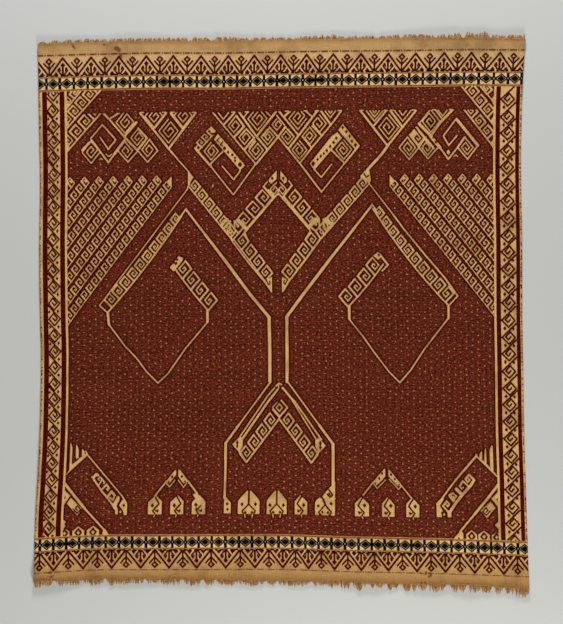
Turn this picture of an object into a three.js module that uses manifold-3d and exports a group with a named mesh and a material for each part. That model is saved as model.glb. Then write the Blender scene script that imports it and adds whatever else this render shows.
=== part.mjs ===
// Tampan cloth: a small ceremonial cloth with a patterned extra weft, laid out flat.
// The weaving is one sheet. Its two cut ends are raw, so at each end the warp stands out
// as a short uneven fringe, and each fringe is one row of locks on a narrow root strip.
// Millimetres, +X across the cloth, +Y along it towards the top end, +Z up.
import * as THREE from 'three';
import Module from 'manifold-3d';

const wasm = await Module();
wasm.setup();

// Driving dimensions of the woven sheet, in the weaver's flat layout: u runs across, v along.
const HALF_WIDTH = 338;
const TOP_END = 382;
const BOTTOM_END = -375;
const TOP_BAND = 325;
const BOTTOM_BAND = -323;
const END_LINE_OFFSET = 40;

// Thickness of the weave in each zone. Zones with an extra weft stand a little prouder.
const THICK = {
  plain: 1.0,
  endRow: 1.2,
  line: 1.3,
  sideHooks: 1.3,
  field: 1.5,
  stripe: 1.6,
  cord: 1.8,
};
const STEP_RUN = 0.5;

// Zones from a selvedge inwards: each ends at "to" millimetres from the selvedge.
const SIDE_ZONES = [
  { name: 'selvedge', left: 4.5, right: 4.0, thick: THICK.plain },
  { name: 'outer stripe', left: 9.0, right: 10.0, thick: THICK.stripe },
  { name: 'hook border', left: 28.0, right: 32.0, thick: THICK.sideHooks },
  { name: 'inner stripe', left: 33.5, right: 37.6, thick: THICK.stripe },
  { name: 'gap', left: 40.0, right: 41.0, thick: THICK.plain },
];

// Zones from the middle of a lozenge band outwards, past the end triangles, to the raw end.
const END_ZONES = [
  { name: 'lozenges', to: 8.1, thick: THICK.field },
  { name: 'cord', to: 10.4, thick: THICK.cord },
  { name: 'triangles', to: 36.0, thick: THICK.endRow },
  { name: 'bare ground', to: 39.0, thick: THICK.plain },
  { name: 'red line', to: 41.0, thick: THICK.line },
];
const INNER_CORD = { from: 8.1, to: 10.4 };

// Weft rows measured on the real cloth: how the ends and the two bands wander in y.
const WEFT_ROWS = [
  { u: -340, topEnd: 376.7, topBand: 319.9, bottomBand: -325.9, bottomEnd: -375.9 },
  { u: -255, topEnd: 379.4, topBand: 322.4, bottomBand: -321.3, bottomEnd: -371.8 },
  { u: -170, topEnd: 380.5, topBand: 324.0, bottomBand: -320.9, bottomEnd: -372.1 },
  { u: -85, topEnd: 381.1, topBand: 324.0, bottomBand: -320.6, bottomEnd: -373.7 },
  { u: 0, topEnd: 382.8, topBand: 325.6, bottomBand: -320.6, bottomEnd: -375.2 },
  { u: 85, topEnd: 383.7, topBand: 326.8, bottomBand: -323.4, bottomEnd: -376.2 },
  { u: 170, topEnd: 385.0, topBand: 327.5, bottomBand: -325.2, bottomEnd: -379.4 },
  { u: 255, topEnd: 385.3, topBand: 328.7, bottomBand: -327.5, bottomEnd: -380.5 },
  { u: 340, topEnd: 384.2, topBand: 328.2, bottomBand: -330.8, bottomEnd: -387.4 },
];

// Selvedges: how the two sides draw in and out in x.
const SELVEDGES = [
  { v: -375, left: -346.5, right: 346.5 },
  { v: -290, left: -345.1, right: 343.7 },
  { v: -220, left: -340.9, right: 341.6 },
  { v: -160, left: -338.1, right: 339.5 },
  { v: -60, left: -336.7, right: 338.1 },
  { v: 0, left: -337.8, right: 337.1 },
  { v: 100, left: -338.8, right: 336.7 },
  { v: 200, left: -338.1, right: 335.3 },
  { v: 300, left: -339.5, right: 336.7 },
  { v: 375, left: -341.0, right: 340.9 },
];

// How far each edge lifts off the surface, in soft ripples that die away inwards.
const TOP_LIFT = [
  { at: -338, lift: 2.6 },
  { at: -285, lift: 1.6 },
  { at: -243, lift: 1.0 },
  { at: -209, lift: 2.2 },
  { at: -150, lift: 1.0 },
  { at: -83, lift: 2.0 },
  { at: -8, lift: 0.8 },
  { at: 50, lift: 1.4 },
  { at: 93, lift: 2.0 },
  { at: 127, lift: 1.0 },
  { at: 180, lift: 2.2 },
  { at: 236, lift: 3.7 },
  { at: 262, lift: 2.8 },
  { at: 280, lift: 3.4 },
  { at: 297, lift: 2.6 },
  { at: 338, lift: 3.6 },
];
const BOTTOM_LIFT = [
  { at: -338, lift: 5.0 },
  { at: -305, lift: 4.4 },
  { at: -272, lift: 1.4 },
  { at: -210, lift: 2.6 },
  { at: -160, lift: 1.4 },
  { at: -125, lift: 2.4 },
  { at: -75, lift: 0.8 },
  { at: -40, lift: 1.8 },
  { at: -8, lift: 0.6 },
  { at: 26, lift: 1.8 },
  { at: 76, lift: 1.0 },
  { at: 122, lift: 4.0 },
  { at: 160, lift: 1.4 },
  { at: 195, lift: 3.8 },
  { at: 227, lift: 2.8 },
  { at: 255, lift: 4.6 },
  { at: 297, lift: 2.4 },
  { at: 338, lift: 3.4 },
];
const SIDE_LIFT = [
  { at: -375, lift: 0.8 },
  { at: -280, lift: 0.0 },
  { at: -190, lift: 1.0 },
  { at: -70, lift: 0.1 },
  { at: 60, lift: 0.9 },
  { at: 170, lift: 0.0 },
  { at: 270, lift: 1.1 },
  { at: 382, lift: 0.6 },
];
const LIFT_REACH = { top: 46, bottom: 58, side: 26 };
const RIGHT_SIDE_SHIFT = 45;

// Fringe: locks of warp ends, 4-sided, rooted in a strip that lies just off the raw end.
const FRINGE_GAP = 0.3;
const STRIP = { width: 1.5, thick: 0.8 };
const LOCK = {
  pitch: 5.2,
  rootWidth: 4.2,
  tipWidth: 1.6,
  rootThick: 0.6,
  tipThick: 0.35,
  rootRise: 0.1,
  rootInset: 0.9,
  tipDroop: 0.45,
  shortest: 2.4,
};
const UNEVEN_LENGTH = { least: 0.78, spread: 0.34 };
const UNEVEN_WIDTH = { least: 0.7, spread: 0.3 };
const CORNER_CLEAR = 3.5;
const TOP_FRINGE = {
  end: 1,
  lean: 0.25,
  seed: 3,
  lengths: [
    { at: -338, length: 3.0 },
    { at: -290, length: 4.4 },
    { at: -120, length: 4.8 },
    { at: -40, length: 4.2 },
    { at: 10, length: 3.2 },
    { at: 60, length: 5.2 },
    { at: 120, length: 3.8 },
    { at: 180, length: 5.4 },
    { at: 235, length: 5.2 },
    { at: 277, length: 8.2 },
    { at: 300, length: 5.2 },
    { at: 338, length: 5.8 },
  ],
  notches: [
    { at: -324, width: 4 },
    { at: -305, width: 3 },
    { at: -241, width: 3 },
    { at: -127, width: 5 },
    { at: -96, width: 4 },
    { at: -44, width: 3 },
    { at: -19, width: 3 },
    { at: 17, width: 3 },
    { at: 90, width: 3 },
    { at: 107, width: 2 },
    { at: 132, width: 6 },
    { at: 166, width: 3 },
    { at: 214, width: 6 },
    { at: 230, width: 3 },
    { at: 252, width: 3 },
    { at: 290, width: 4 },
  ],
  tufts: [
    { u: 335.0, length: 9.6, lean: 0.4, width: 5.0 },
    { u: 321.5, length: 6.6, lean: 0.75, width: 3.0 },
  ],
};
const BOTTOM_FRINGE = {
  end: -1,
  lean: 0.45,
  seed: 11,
  lengths: [
    { at: -338, length: 5.8 },
    { at: -300, length: 5.2 },
    { at: -255, length: 6.8 },
    { at: -200, length: 5.8 },
    { at: -130, length: 6.6 },
    { at: -60, length: 6.2 },
    { at: 30, length: 5.6 },
    { at: 80, length: 6.6 },
    { at: 105, length: 8.6 },
    { at: 140, length: 6.6 },
    { at: 190, length: 8.6 },
    { at: 240, length: 6.8 },
    { at: 270, length: 9.2 },
    { at: 338, length: 7.6 },
  ],
  notches: [
    { at: -309, width: 4 },
    { at: -272, width: 4 },
    { at: -240, width: 4 },
    { at: -186, width: 5 },
    { at: -136, width: 5 },
    { at: -108, width: 4 },
    { at: -90, width: 3 },
    { at: -59, width: 3 },
    { at: -22, width: 3 },
    { at: -6, width: 3 },
    { at: 40, width: 10 },
    { at: 96, width: 3 },
    { at: 117, width: 7 },
    { at: 142, width: 3 },
    { at: 162, width: 6 },
    { at: 185, width: 4 },
    { at: 200, width: 3 },
    { at: 227, width: 9 },
    { at: 254, width: 5 },
    { at: 289, width: 4 },
    { at: 303, width: 4 },
    { at: 318, width: 4 },
  ],
  tufts: [
    { u: -333.5, length: 6.4, lean: -0.85, width: 4.0 },
    { u: 333.0, length: 8.4, lean: -0.2, width: 2.6 },
  ],
};

const FIELD_STEP_U = 26;
const FIELD_STEP_V = 62;

const clothMaterial = new THREE.MeshStandardMaterial({
  color: new THREE.Color(0.36, 0.15, 0.09),
  roughness: 0.92,
  metalness: 0,
});
const fringeMaterial = new THREE.MeshStandardMaterial({
  color: new THREE.Color(0.64, 0.47, 0.27),
  roughness: 0.95,
  metalness: 0,
});

// Smooth curve through a table: cubic pieces whose slope at a point is that of its neighbours.
function through(table, keyName, valueName, at) {
  const last = table.length - 1;
  const key = (i) => table[i][keyName];
  const value = (i) => table[i][valueName];
  const slope = (i) => {
    const before = Math.max(i - 1, 0);
    const after = Math.min(i + 1, last);
    return (value(after) - value(before)) / (key(after) - key(before));
  };
  const clamped = Math.min(Math.max(at, key(0)), key(last));
  let i = 0;
  while (i < last - 1 && clamped > key(i + 1)) i += 1;
  const run = key(i + 1) - key(i);
  const t = (clamped - key(i)) / run;
  const startWeight = (1 + 2 * t) * (1 - t) * (1 - t);
  const endWeight = t * t * (3 - 2 * t);
  const startPull = t * (1 - t) * (1 - t) * run;
  const endPull = t * t * (t - 1) * run;
  return startWeight * value(i) + endWeight * value(i + 1) + startPull * slope(i) + endPull * slope(i + 1);
}

// Where a point of the flat layout lies on the real cloth, seen from above.
function place(u, v) {
  const left = through(SELVEDGES, 'v', 'left', v);
  const right = through(SELVEDGES, 'v', 'right', v);
  const x = left + ((right - left) * (u + HALF_WIDTH)) / (2 * HALF_WIDTH);
  const row = (name) => through(WEFT_ROWS, 'u', name, u);
  const topLine = row('topBand') + END_LINE_OFFSET;
  const bottomLine = row('bottomBand') - END_LINE_OFFSET;
  const topLineV = TOP_BAND + END_LINE_OFFSET;
  const bottomLineV = BOTTOM_BAND - END_LINE_OFFSET;
  let y;
  if (v > topLineV) {
    y = topLine + ((row('topEnd') - topLine) * (v - topLineV)) / (TOP_END - topLineV);
  } else if (v > TOP_BAND) {
    y = row('topBand') + (v - TOP_BAND);
  } else if (v > BOTTOM_BAND) {
    const along = (v - BOTTOM_BAND) / (TOP_BAND - BOTTOM_BAND);
    y = row('bottomBand') + (row('topBand') - row('bottomBand')) * along;
  } else if (v > bottomLineV) {
    y = row('bottomBand') + (v - BOTTOM_BAND);
  } else {
    y = bottomLine + ((row('bottomEnd') - bottomLine) * (v - bottomLineV)) / (BOTTOM_END - bottomLineV);
  }
  return [x, y];
}

// Height of the underside: the edge ripples, each fading to nothing over its reach.
// The right side has the left side's ripples, moved along it.
function lift(u, v) {
  const ripple = (table, at, distance, reach) => {
    const height = Math.max(0, through(table, 'at', 'lift', at));
    return height * Math.max(0, 1 - distance / reach) ** 2;
  };
  const top = ripple(TOP_LIFT, u, TOP_END - v, LIFT_REACH.top);
  const bottom = ripple(BOTTOM_LIFT, u, v - BOTTOM_END, LIFT_REACH.bottom);
  const sideAt = u > 0 ? v - RIGHT_SIDE_SHIFT : v;
  const side = ripple(SIDE_LIFT, sideAt, HALF_WIDTH - Math.abs(u), LIFT_REACH.side);
  return Math.max(top, bottom, side);
}

// Stations either side of a step in thickness.
function stepPair(at) {
  return [at - STEP_RUN / 2, at + STEP_RUN / 2];
}

// Evenly spaced values strictly between two ends.
function between(from, to, step) {
  const count = Math.max(1, Math.round((to - from) / step));
  return Array.from({ length: count - 1 }, (_, i) => from + ((to - from) * (i + 1)) / count);
}

function stationsAcross() {
  const left = SIDE_ZONES.flatMap((zone) => stepPair(-HALF_WIDTH + zone.left));
  const right = SIDE_ZONES.flatMap((zone) => stepPair(HALF_WIDTH - zone.right)).sort((a, b) => a - b);
  const field = between(left[left.length - 1], right[0], FIELD_STEP_U);
  return [-HALF_WIDTH, ...left, ...field, ...right, HALF_WIDTH];
}

function stationsAlong() {
  const outward = END_ZONES.flatMap((zone) => stepPair(zone.to));
  const inward = [INNER_CORD.from, INNER_CORD.to].flatMap((at) => stepPair(at));
  const trianglesMiddle = (END_ZONES[1].to + END_ZONES[2].to) / 2;
  const offsets = [...inward.map((at) => -at), 0, ...outward, trianglesMiddle].sort((a, b) => a - b);
  const top = offsets.map((offset) => TOP_BAND + offset);
  const bottom = offsets.map((offset) => BOTTOM_BAND - offset).sort((a, b) => a - b);
  const bottomMiddle = (BOTTOM_END + bottom[0]) / 2;
  const topMiddle = (TOP_END + top[top.length - 1]) / 2;
  const field = between(bottom[bottom.length - 1], top[0], FIELD_STEP_V);
  return [BOTTOM_END, bottomMiddle, ...bottom, ...field, ...top, topMiddle, TOP_END];
}

function sideThickness(u) {
  const side = u < 0 ? 'left' : 'right';
  const inset = HALF_WIDTH - Math.abs(u);
  const zone = SIDE_ZONES.find((candidate) => inset < candidate[side]);
  return zone ? zone.thick : THICK.field;
}

function thickness(u, v) {
  const outward = v > 0 ? v - TOP_BAND : BOTTOM_BAND - v;
  if (outward < -INNER_CORD.to) return sideThickness(u);
  if (outward < -INNER_CORD.from) return THICK.cord;
  const zone = END_ZONES.find((candidate) => outward < candidate.to);
  return zone ? zone.thick : THICK.plain;
}

// The sheet: a grid of underside points and the same grid raised by the thickness,
// closed round the rim.
function sheetGeometry() {
  const across = stationsAcross();
  const along = stationsAlong();
  const columns = across.length;
  const rows = along.length;
  const lower = [];
  const upper = [];
  for (const v of along) {
    for (const u of across) {
      const [x, y] = place(u, v);
      const under = lift(u, v);
      lower.push(x, y, under);
      upper.push(x, y, under + thickness(u, v));
    }
  }
  const layer = columns * rows;
  const index = [];
  const cell = (row, column) => row * columns + column;
  for (let row = 0; row < rows - 1; row += 1) {
    for (let column = 0; column < columns - 1; column += 1) {
      const a = cell(row, column);
      const b = cell(row, column + 1);
      const c = cell(row + 1, column + 1);
      const d = cell(row + 1, column);
      index.push(a, d, c, a, c, b);
      index.push(layer + a, layer + c, layer + d, layer + a, layer + b, layer + c);
    }
  }
  const wall = (p, q) => index.push(p, q, layer + q, p, layer + q, layer + p);
  for (let column = 0; column < columns - 1; column += 1) {
    wall(cell(0, column), cell(0, column + 1));
    wall(cell(rows - 1, column + 1), cell(rows - 1, column));
  }
  for (let row = 0; row < rows - 1; row += 1) {
    wall(cell(row, columns - 1), cell(row + 1, columns - 1));
    wall(cell(row + 1, 0), cell(row, 0));
  }
  return geometryFrom([...lower, ...upper], index);
}

function geometryFrom(positions, index) {
  const geometry = new THREE.BufferGeometry();
  geometry.setAttribute('position', new THREE.Float32BufferAttribute(positions, 3));
  geometry.setIndex(index);
  geometry.computeVertexNormals();
  return geometry;
}

// A bar of four-cornered sections, closed at both ends, as a solid for joining.
// Each section is [inner low, outer low, outer high, inner high].
function barSolid(sections) {
  const positions = sections.flat(2);
  const index = [];
  const corners = 4;
  for (let s = 0; s < sections.length - 1; s += 1) {
    for (let k = 0; k < corners; k += 1) {
      const a = s * corners + k;
      const b = s * corners + ((k + 1) % corners);
      index.push(a, b, b + corners, a, b + corners, a + corners);
    }
  }
  const end = (sections.length - 1) * corners;
  index.push(0, 2, 1, 0, 3, 2);
  index.push(end, end + 1, end + 2, end, end + 2, end + 3);
  const mesh = new wasm.Mesh({
    numProp: 3,
    vertProperties: new Float32Array(positions),
    triVerts: new Uint32Array(index),
  });
  return new wasm.Manifold(mesh);
}

// A repeatable uneven number from 0 to 1 for each place in a row.
function uneven(place, seed) {
  const wave = Math.sin(place * 12.9898 + seed * 78.233) * 43758.5453;
  return wave - Math.floor(wave);
}

// The raw end as the sheet has it: straight from one station across to the next.
function endLine(end) {
  const v = end > 0 ? TOP_END : BOTTOM_END;
  return stationsAcross().map((u) => {
    const [x, y] = place(u, v);
    return { u, x, y, under: lift(u, v) };
  });
}

function endPoint(line, u) {
  const i = Math.max(1, line.findIndex((station) => station.u >= u));
  const [a, b] = [line[i - 1], line[i]];
  const t = (u - a.u) / (b.u - a.u);
  const mix = (name) => a[name] + (b[name] - a[name]) * t;
  return { x: mix('x'), y: mix('y'), under: mix('under') };
}

function stripSolid(end) {
  const sections = endLine(end).map(({ x, y, under }) => {
    const edges = [y + end * FRINGE_GAP, y + end * (FRINGE_GAP + STRIP.width)];
    const [lowY, highY] = edges.sort((a, b) => a - b);
    const high = under + STRIP.thick;
    return [[x, lowY, under], [x, highY, under], [x, highY, high], [x, lowY, high]];
  });
  return barSolid(sections);
}

// One lock: rooted in the strip and easing down towards the surface.
function lockSolid(end, line, { u, length, lean, width }) {
  const { x, y, under } = endPoint(line, u);
  const root = { reach: LOCK.rootInset, wide: width, thick: LOCK.rootThick, low: under + LOCK.rootRise };
  const tip = { reach: length, wide: LOCK.tipWidth, thick: LOCK.tipThick, low: under * LOCK.tipDroop };
  const stops = [root, tip];
  const sections = stops.map(({ reach, wide, thick, low }) => {
    const cx = x + lean * (reach - LOCK.rootInset);
    const cy = y + end * reach;
    const half = wide / 2;
    const floorSide = [[cx - half, cy, low], [cx + half, cy, low]];
    const faceSide = [[cx + half, cy, low + thick], [cx - half, cy, low + thick]];
    const ring = [...floorSide, ...faceSide];
    return end > 0 ? ring.reverse() : ring;
  });
  return barSolid(sections);
}

// Share of a lock's length that is left near the notches in a fringe.
function notchShare(notches, u) {
  const depths = notches.map(({ at, width }) => {
    const reach = (width + LOCK.pitch) / 2;
    return Math.max(0, 1 - Math.abs(u - at) / reach);
  });
  return 1 - Math.max(...depths);
}

function fringeGeometry({ end, lean, seed, lengths, notches, tufts }) {
  const span = 2 * (HALF_WIDTH - CORNER_CLEAR);
  const count = Math.floor(span / LOCK.pitch);
  const line = endLine(end);
  const locks = [...tufts];
  for (let i = 0; i <= count; i += 1) {
    const u = -span / 2 + (span * i) / count;
    const varied = UNEVEN_LENGTH.least + UNEVEN_LENGTH.spread * uneven(i, seed);
    const length = through(lengths, 'at', 'length', u) * varied * notchShare(notches, u);
    const width = LOCK.rootWidth * (UNEVEN_WIDTH.least + UNEVEN_WIDTH.spread * uneven(i, seed + 2));
    if (length > LOCK.shortest) {
      locks.push({ u, length, lean: lean * (2 * uneven(i, seed + 1) - 0.8), width });
    }
  }
  const solids = locks.map((lock) => lockSolid(end, line, lock));
  const joined = wasm.Manifold.union([stripSolid(end), ...solids]);
  const mesh = joined.getMesh();
  return geometryFrom(Array.from(mesh.vertProperties), Array.from(mesh.triVerts));
}

function namedMesh(name, geometry, material) {
  const mesh = new THREE.Mesh(geometry, material);
  mesh.name = name;
  return mesh;
}

const cloth = new THREE.Group();
cloth.add(namedMesh('cloth', sheetGeometry(), clothMaterial));
cloth.add(namedMesh('fringe_top', fringeGeometry(TOP_FRINGE), fringeMaterial));
cloth.add(namedMesh('fringe_bottom', fringeGeometry(BOTTOM_FRINGE), fringeMaterial));

// The origin is under the middle of the whole cloth, on the surface that it lies on.
const box = new THREE.Box3().setFromObject(cloth);
const middle = box.getCenter(new THREE.Vector3());
cloth.position.set(-middle.x, -middle.y, -box.min.z);
cloth.updateMatrixWorld(true);

export default cloth;
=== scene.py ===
"""Tampan cloth, dressed: a plain ground with an extra weft floating over it.

The woven sheet lies where the frame's solids lie. Its pattern is worked out as a weaver's
chart, in the flat layout of the cloth: u runs across from selvedge to selvedge and v along
it from the bottom end to the top, in millimetres. Each run of a yarn on the face then
becomes one raised float.
"""
from __future__ import annotations

import logging
from dataclasses import dataclass
from enum import IntEnum

import bpy
import numpy as np
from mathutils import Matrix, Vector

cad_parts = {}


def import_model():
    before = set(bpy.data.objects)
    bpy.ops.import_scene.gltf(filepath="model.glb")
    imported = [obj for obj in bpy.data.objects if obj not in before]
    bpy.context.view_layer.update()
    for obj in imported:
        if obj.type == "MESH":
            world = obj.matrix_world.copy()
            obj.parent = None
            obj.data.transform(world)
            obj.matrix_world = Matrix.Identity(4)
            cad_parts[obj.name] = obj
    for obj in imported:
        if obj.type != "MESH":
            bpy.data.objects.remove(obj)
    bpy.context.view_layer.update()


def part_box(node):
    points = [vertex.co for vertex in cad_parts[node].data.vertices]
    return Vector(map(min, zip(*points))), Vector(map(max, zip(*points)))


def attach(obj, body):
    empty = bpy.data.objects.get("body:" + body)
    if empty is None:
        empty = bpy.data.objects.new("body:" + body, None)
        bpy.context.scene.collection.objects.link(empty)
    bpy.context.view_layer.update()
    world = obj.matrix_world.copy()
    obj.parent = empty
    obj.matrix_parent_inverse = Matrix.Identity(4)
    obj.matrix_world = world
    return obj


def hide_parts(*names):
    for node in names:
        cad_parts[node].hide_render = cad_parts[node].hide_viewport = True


LOG = logging.getLogger("tampan")
MM = 0.001


def through(keys: np.ndarray, values: np.ndarray, at: np.ndarray) -> np.ndarray:
    """Smooth curve through a table of points.

    Between two points it is the cubic whose slope at each is that of the line joining
    its neighbours.

    Args:
        keys: rising positions of the points.
        values: the value at each.
        at: positions to read, kept within the table.

    Returns:
        The curve's value at each position.
    """
    last = len(keys) - 1
    before = np.maximum(np.arange(last + 1) - 1, 0)
    after = np.minimum(np.arange(last + 1) + 1, last)
    slopes = (values[after] - values[before]) / (keys[after] - keys[before])
    place = np.clip(at, keys[0], keys[-1])
    i = np.clip(np.searchsorted(keys, place, side="right") - 1, 0, last - 1)
    run = keys[i + 1] - keys[i]
    t = (place - keys[i]) / run
    curve = (1 + 2 * t) * (1 - t) ** 2 * values[i] + t * t * (3 - 2 * t) * values[i + 1]
    return curve + t * (1 - t) ** 2 * run * slopes[i] + t * t * (t - 1) * run * slopes[i + 1]


@dataclass(frozen=True)
class Layout:
    """Where the flat layout lies on the real cloth, in millimetres seen from above."""

    half_width: float = 338.0
    top_end: float = 382.0
    bottom_end: float = -375.0
    top_band: float = 325.0
    bottom_band: float = -323.0
    end_line_offset: float = 40.0
    # Columns: u, top end, middle of the top band, middle of the bottom band, bottom end.
    weft_rows: tuple[tuple[float, ...], ...] = (
        (-340, 376.7, 319.9, -325.9, -375.9),
        (-255, 379.4, 322.4, -321.3, -371.8),
        (-170, 380.5, 324.0, -320.9, -372.1),
        (-85, 381.1, 324.0, -320.6, -373.7),
        (0, 382.8, 325.6, -320.6, -375.2),
        (85, 383.7, 326.8, -323.4, -376.2),
        (170, 385.0, 327.5, -325.2, -379.4),
        (255, 385.3, 328.7, -327.5, -380.5),
        (340, 384.2, 328.2, -330.8, -387.4),
    )
    # Columns: v, left selvedge, right selvedge.
    selvedges: tuple[tuple[float, ...], ...] = (
        (-375, -346.5, 346.5),
        (-290, -345.1, 343.7),
        (-220, -340.9, 341.6),
        (-160, -338.1, 339.5),
        (-60, -336.7, 338.1),
        (0, -337.8, 337.1),
        (100, -338.8, 336.7),
        (200, -338.1, 335.3),
        (300, -339.5, 336.7),
        (375, -341.0, 340.9),
    )
    # Ripples of the edges. Columns: place along the edge, height of the underside.
    top_lift: tuple[tuple[float, float], ...] = (
        (-338, 2.6), (-285, 1.6), (-243, 1.0), (-209, 2.2), (-150, 1.0), (-83, 2.0),
        (-8, 0.8), (50, 1.4), (93, 2.0), (127, 1.0), (180, 2.2), (236, 3.7),
        (262, 2.8), (280, 3.4), (297, 2.6), (338, 3.6),
    )
    bottom_lift: tuple[tuple[float, float], ...] = (
        (-338, 5.0), (-305, 4.4), (-272, 1.4), (-210, 2.6), (-160, 1.4), (-125, 2.4),
        (-75, 0.8), (-40, 1.8), (-8, 0.6), (26, 1.8), (76, 1.0), (122, 4.0),
        (160, 1.4), (195, 3.8), (227, 2.8), (255, 4.6), (297, 2.4), (338, 3.4),
    )
    side_lift: tuple[tuple[float, float], ...] = (
        (-375, 0.8), (-280, 0.0), (-190, 1.0), (-70, 0.1), (60, 0.9), (170, 0.0),
        (270, 1.1), (382, 0.6),
    )
    top_reach: float = 46.0
    bottom_reach: float = 58.0
    side_reach: float = 26.0
    right_side_shift: float = 45.0

    def place(self, u: np.ndarray, v: np.ndarray) -> tuple[np.ndarray, np.ndarray]:
        """Real x and y of points of the flat layout.

        Across, a point keeps its share of the width between the two selvedges. Along,
        it keeps its distance from a lozenge band out to the red line, and its share of
        the length everywhere else.

        Args:
            u: places across.
            v: places along.

        Returns:
            The x and the y of each point.
        """
        sides = np.array(self.selvedges, dtype=float)
        left = through(sides[:, 0], sides[:, 1], v)
        right = through(sides[:, 0], sides[:, 2], v)
        x = left + (right - left) * (u + self.half_width) / (2 * self.half_width)
        rows = np.array(self.weft_rows, dtype=float)
        top_end, top_band, bottom_band, bottom_end = (
            through(rows[:, 0], rows[:, column], u) for column in range(1, 5)
        )
        line_v = self.top_band + self.end_line_offset
        low_line_v = self.bottom_band - self.end_line_offset
        top_line = top_band + self.end_line_offset
        bottom_line = bottom_band - self.end_line_offset
        share = (v - self.bottom_band) / (self.top_band - self.bottom_band)
        y = bottom_band + (top_band - bottom_band) * share
        y = np.where(v > self.top_band, top_band + v - self.top_band, y)
        y = np.where(v < self.bottom_band, bottom_band + v - self.bottom_band, y)
        over = (v - line_v) / (self.top_end - line_v)
        y = np.where(v > line_v, top_line + (top_end - top_line) * over, y)
        under = (v - low_line_v) / (self.bottom_end - low_line_v)
        y = np.where(v < low_line_v, bottom_line + (bottom_end - bottom_line) * under, y)
        return x, y

    def lift(self, u: np.ndarray, v: np.ndarray) -> np.ndarray:
        """Height of the underside over the surface that the cloth lies on.

        Each edge has a row of ripples, whose height fades inwards with the square of the
        share of its reach that is left. The highest of the three counts.

        Args:
            u: places across.
            v: places along.

        Returns:
            The height of the underside at each point, in millimetres.
        """

        def ripple(table: tuple, at: np.ndarray, distance: np.ndarray, reach: float) -> np.ndarray:
            """One edge's height at each point."""
            points = np.array(table, dtype=float)
            height = np.maximum(0, through(points[:, 0], points[:, 1], at))
            return height * np.maximum(0, 1 - np.maximum(distance, 0) / reach) ** 2

        top = ripple(self.top_lift, u, self.top_end - v, self.top_reach)
        bottom = ripple(self.bottom_lift, u, v - self.bottom_end, self.bottom_reach)
        at = np.where(u > 0, v - self.right_side_shift, v)
        side = ripple(self.side_lift, at, self.half_width - np.abs(u), self.side_reach)
        return np.maximum(np.maximum(top, bottom), side)


class Yarn(IntEnum):
    """What lies on the face at one point of the chart."""

    GROUND = 0
    FIELD = 1
    FIGURE = 2
    INDIGO = 3
    CORD = 4
    END_LINE = 5


class Corner(IntEnum):
    """Corners of a square that stands on one of them, in turn."""

    RIGHT = 0
    TOP = 1
    LEFT = 2
    BOTTOM = 3


TOP, RIGHT, LEFT = Corner.TOP, Corner.RIGHT, Corner.LEFT
Point = tuple[float, float]


def corners(row: tuple[float, ...]) -> list[Point]:
    """Points from a row that gives u and v of each in turn."""
    return list(zip(row[::2], row[1::2]))


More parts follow.
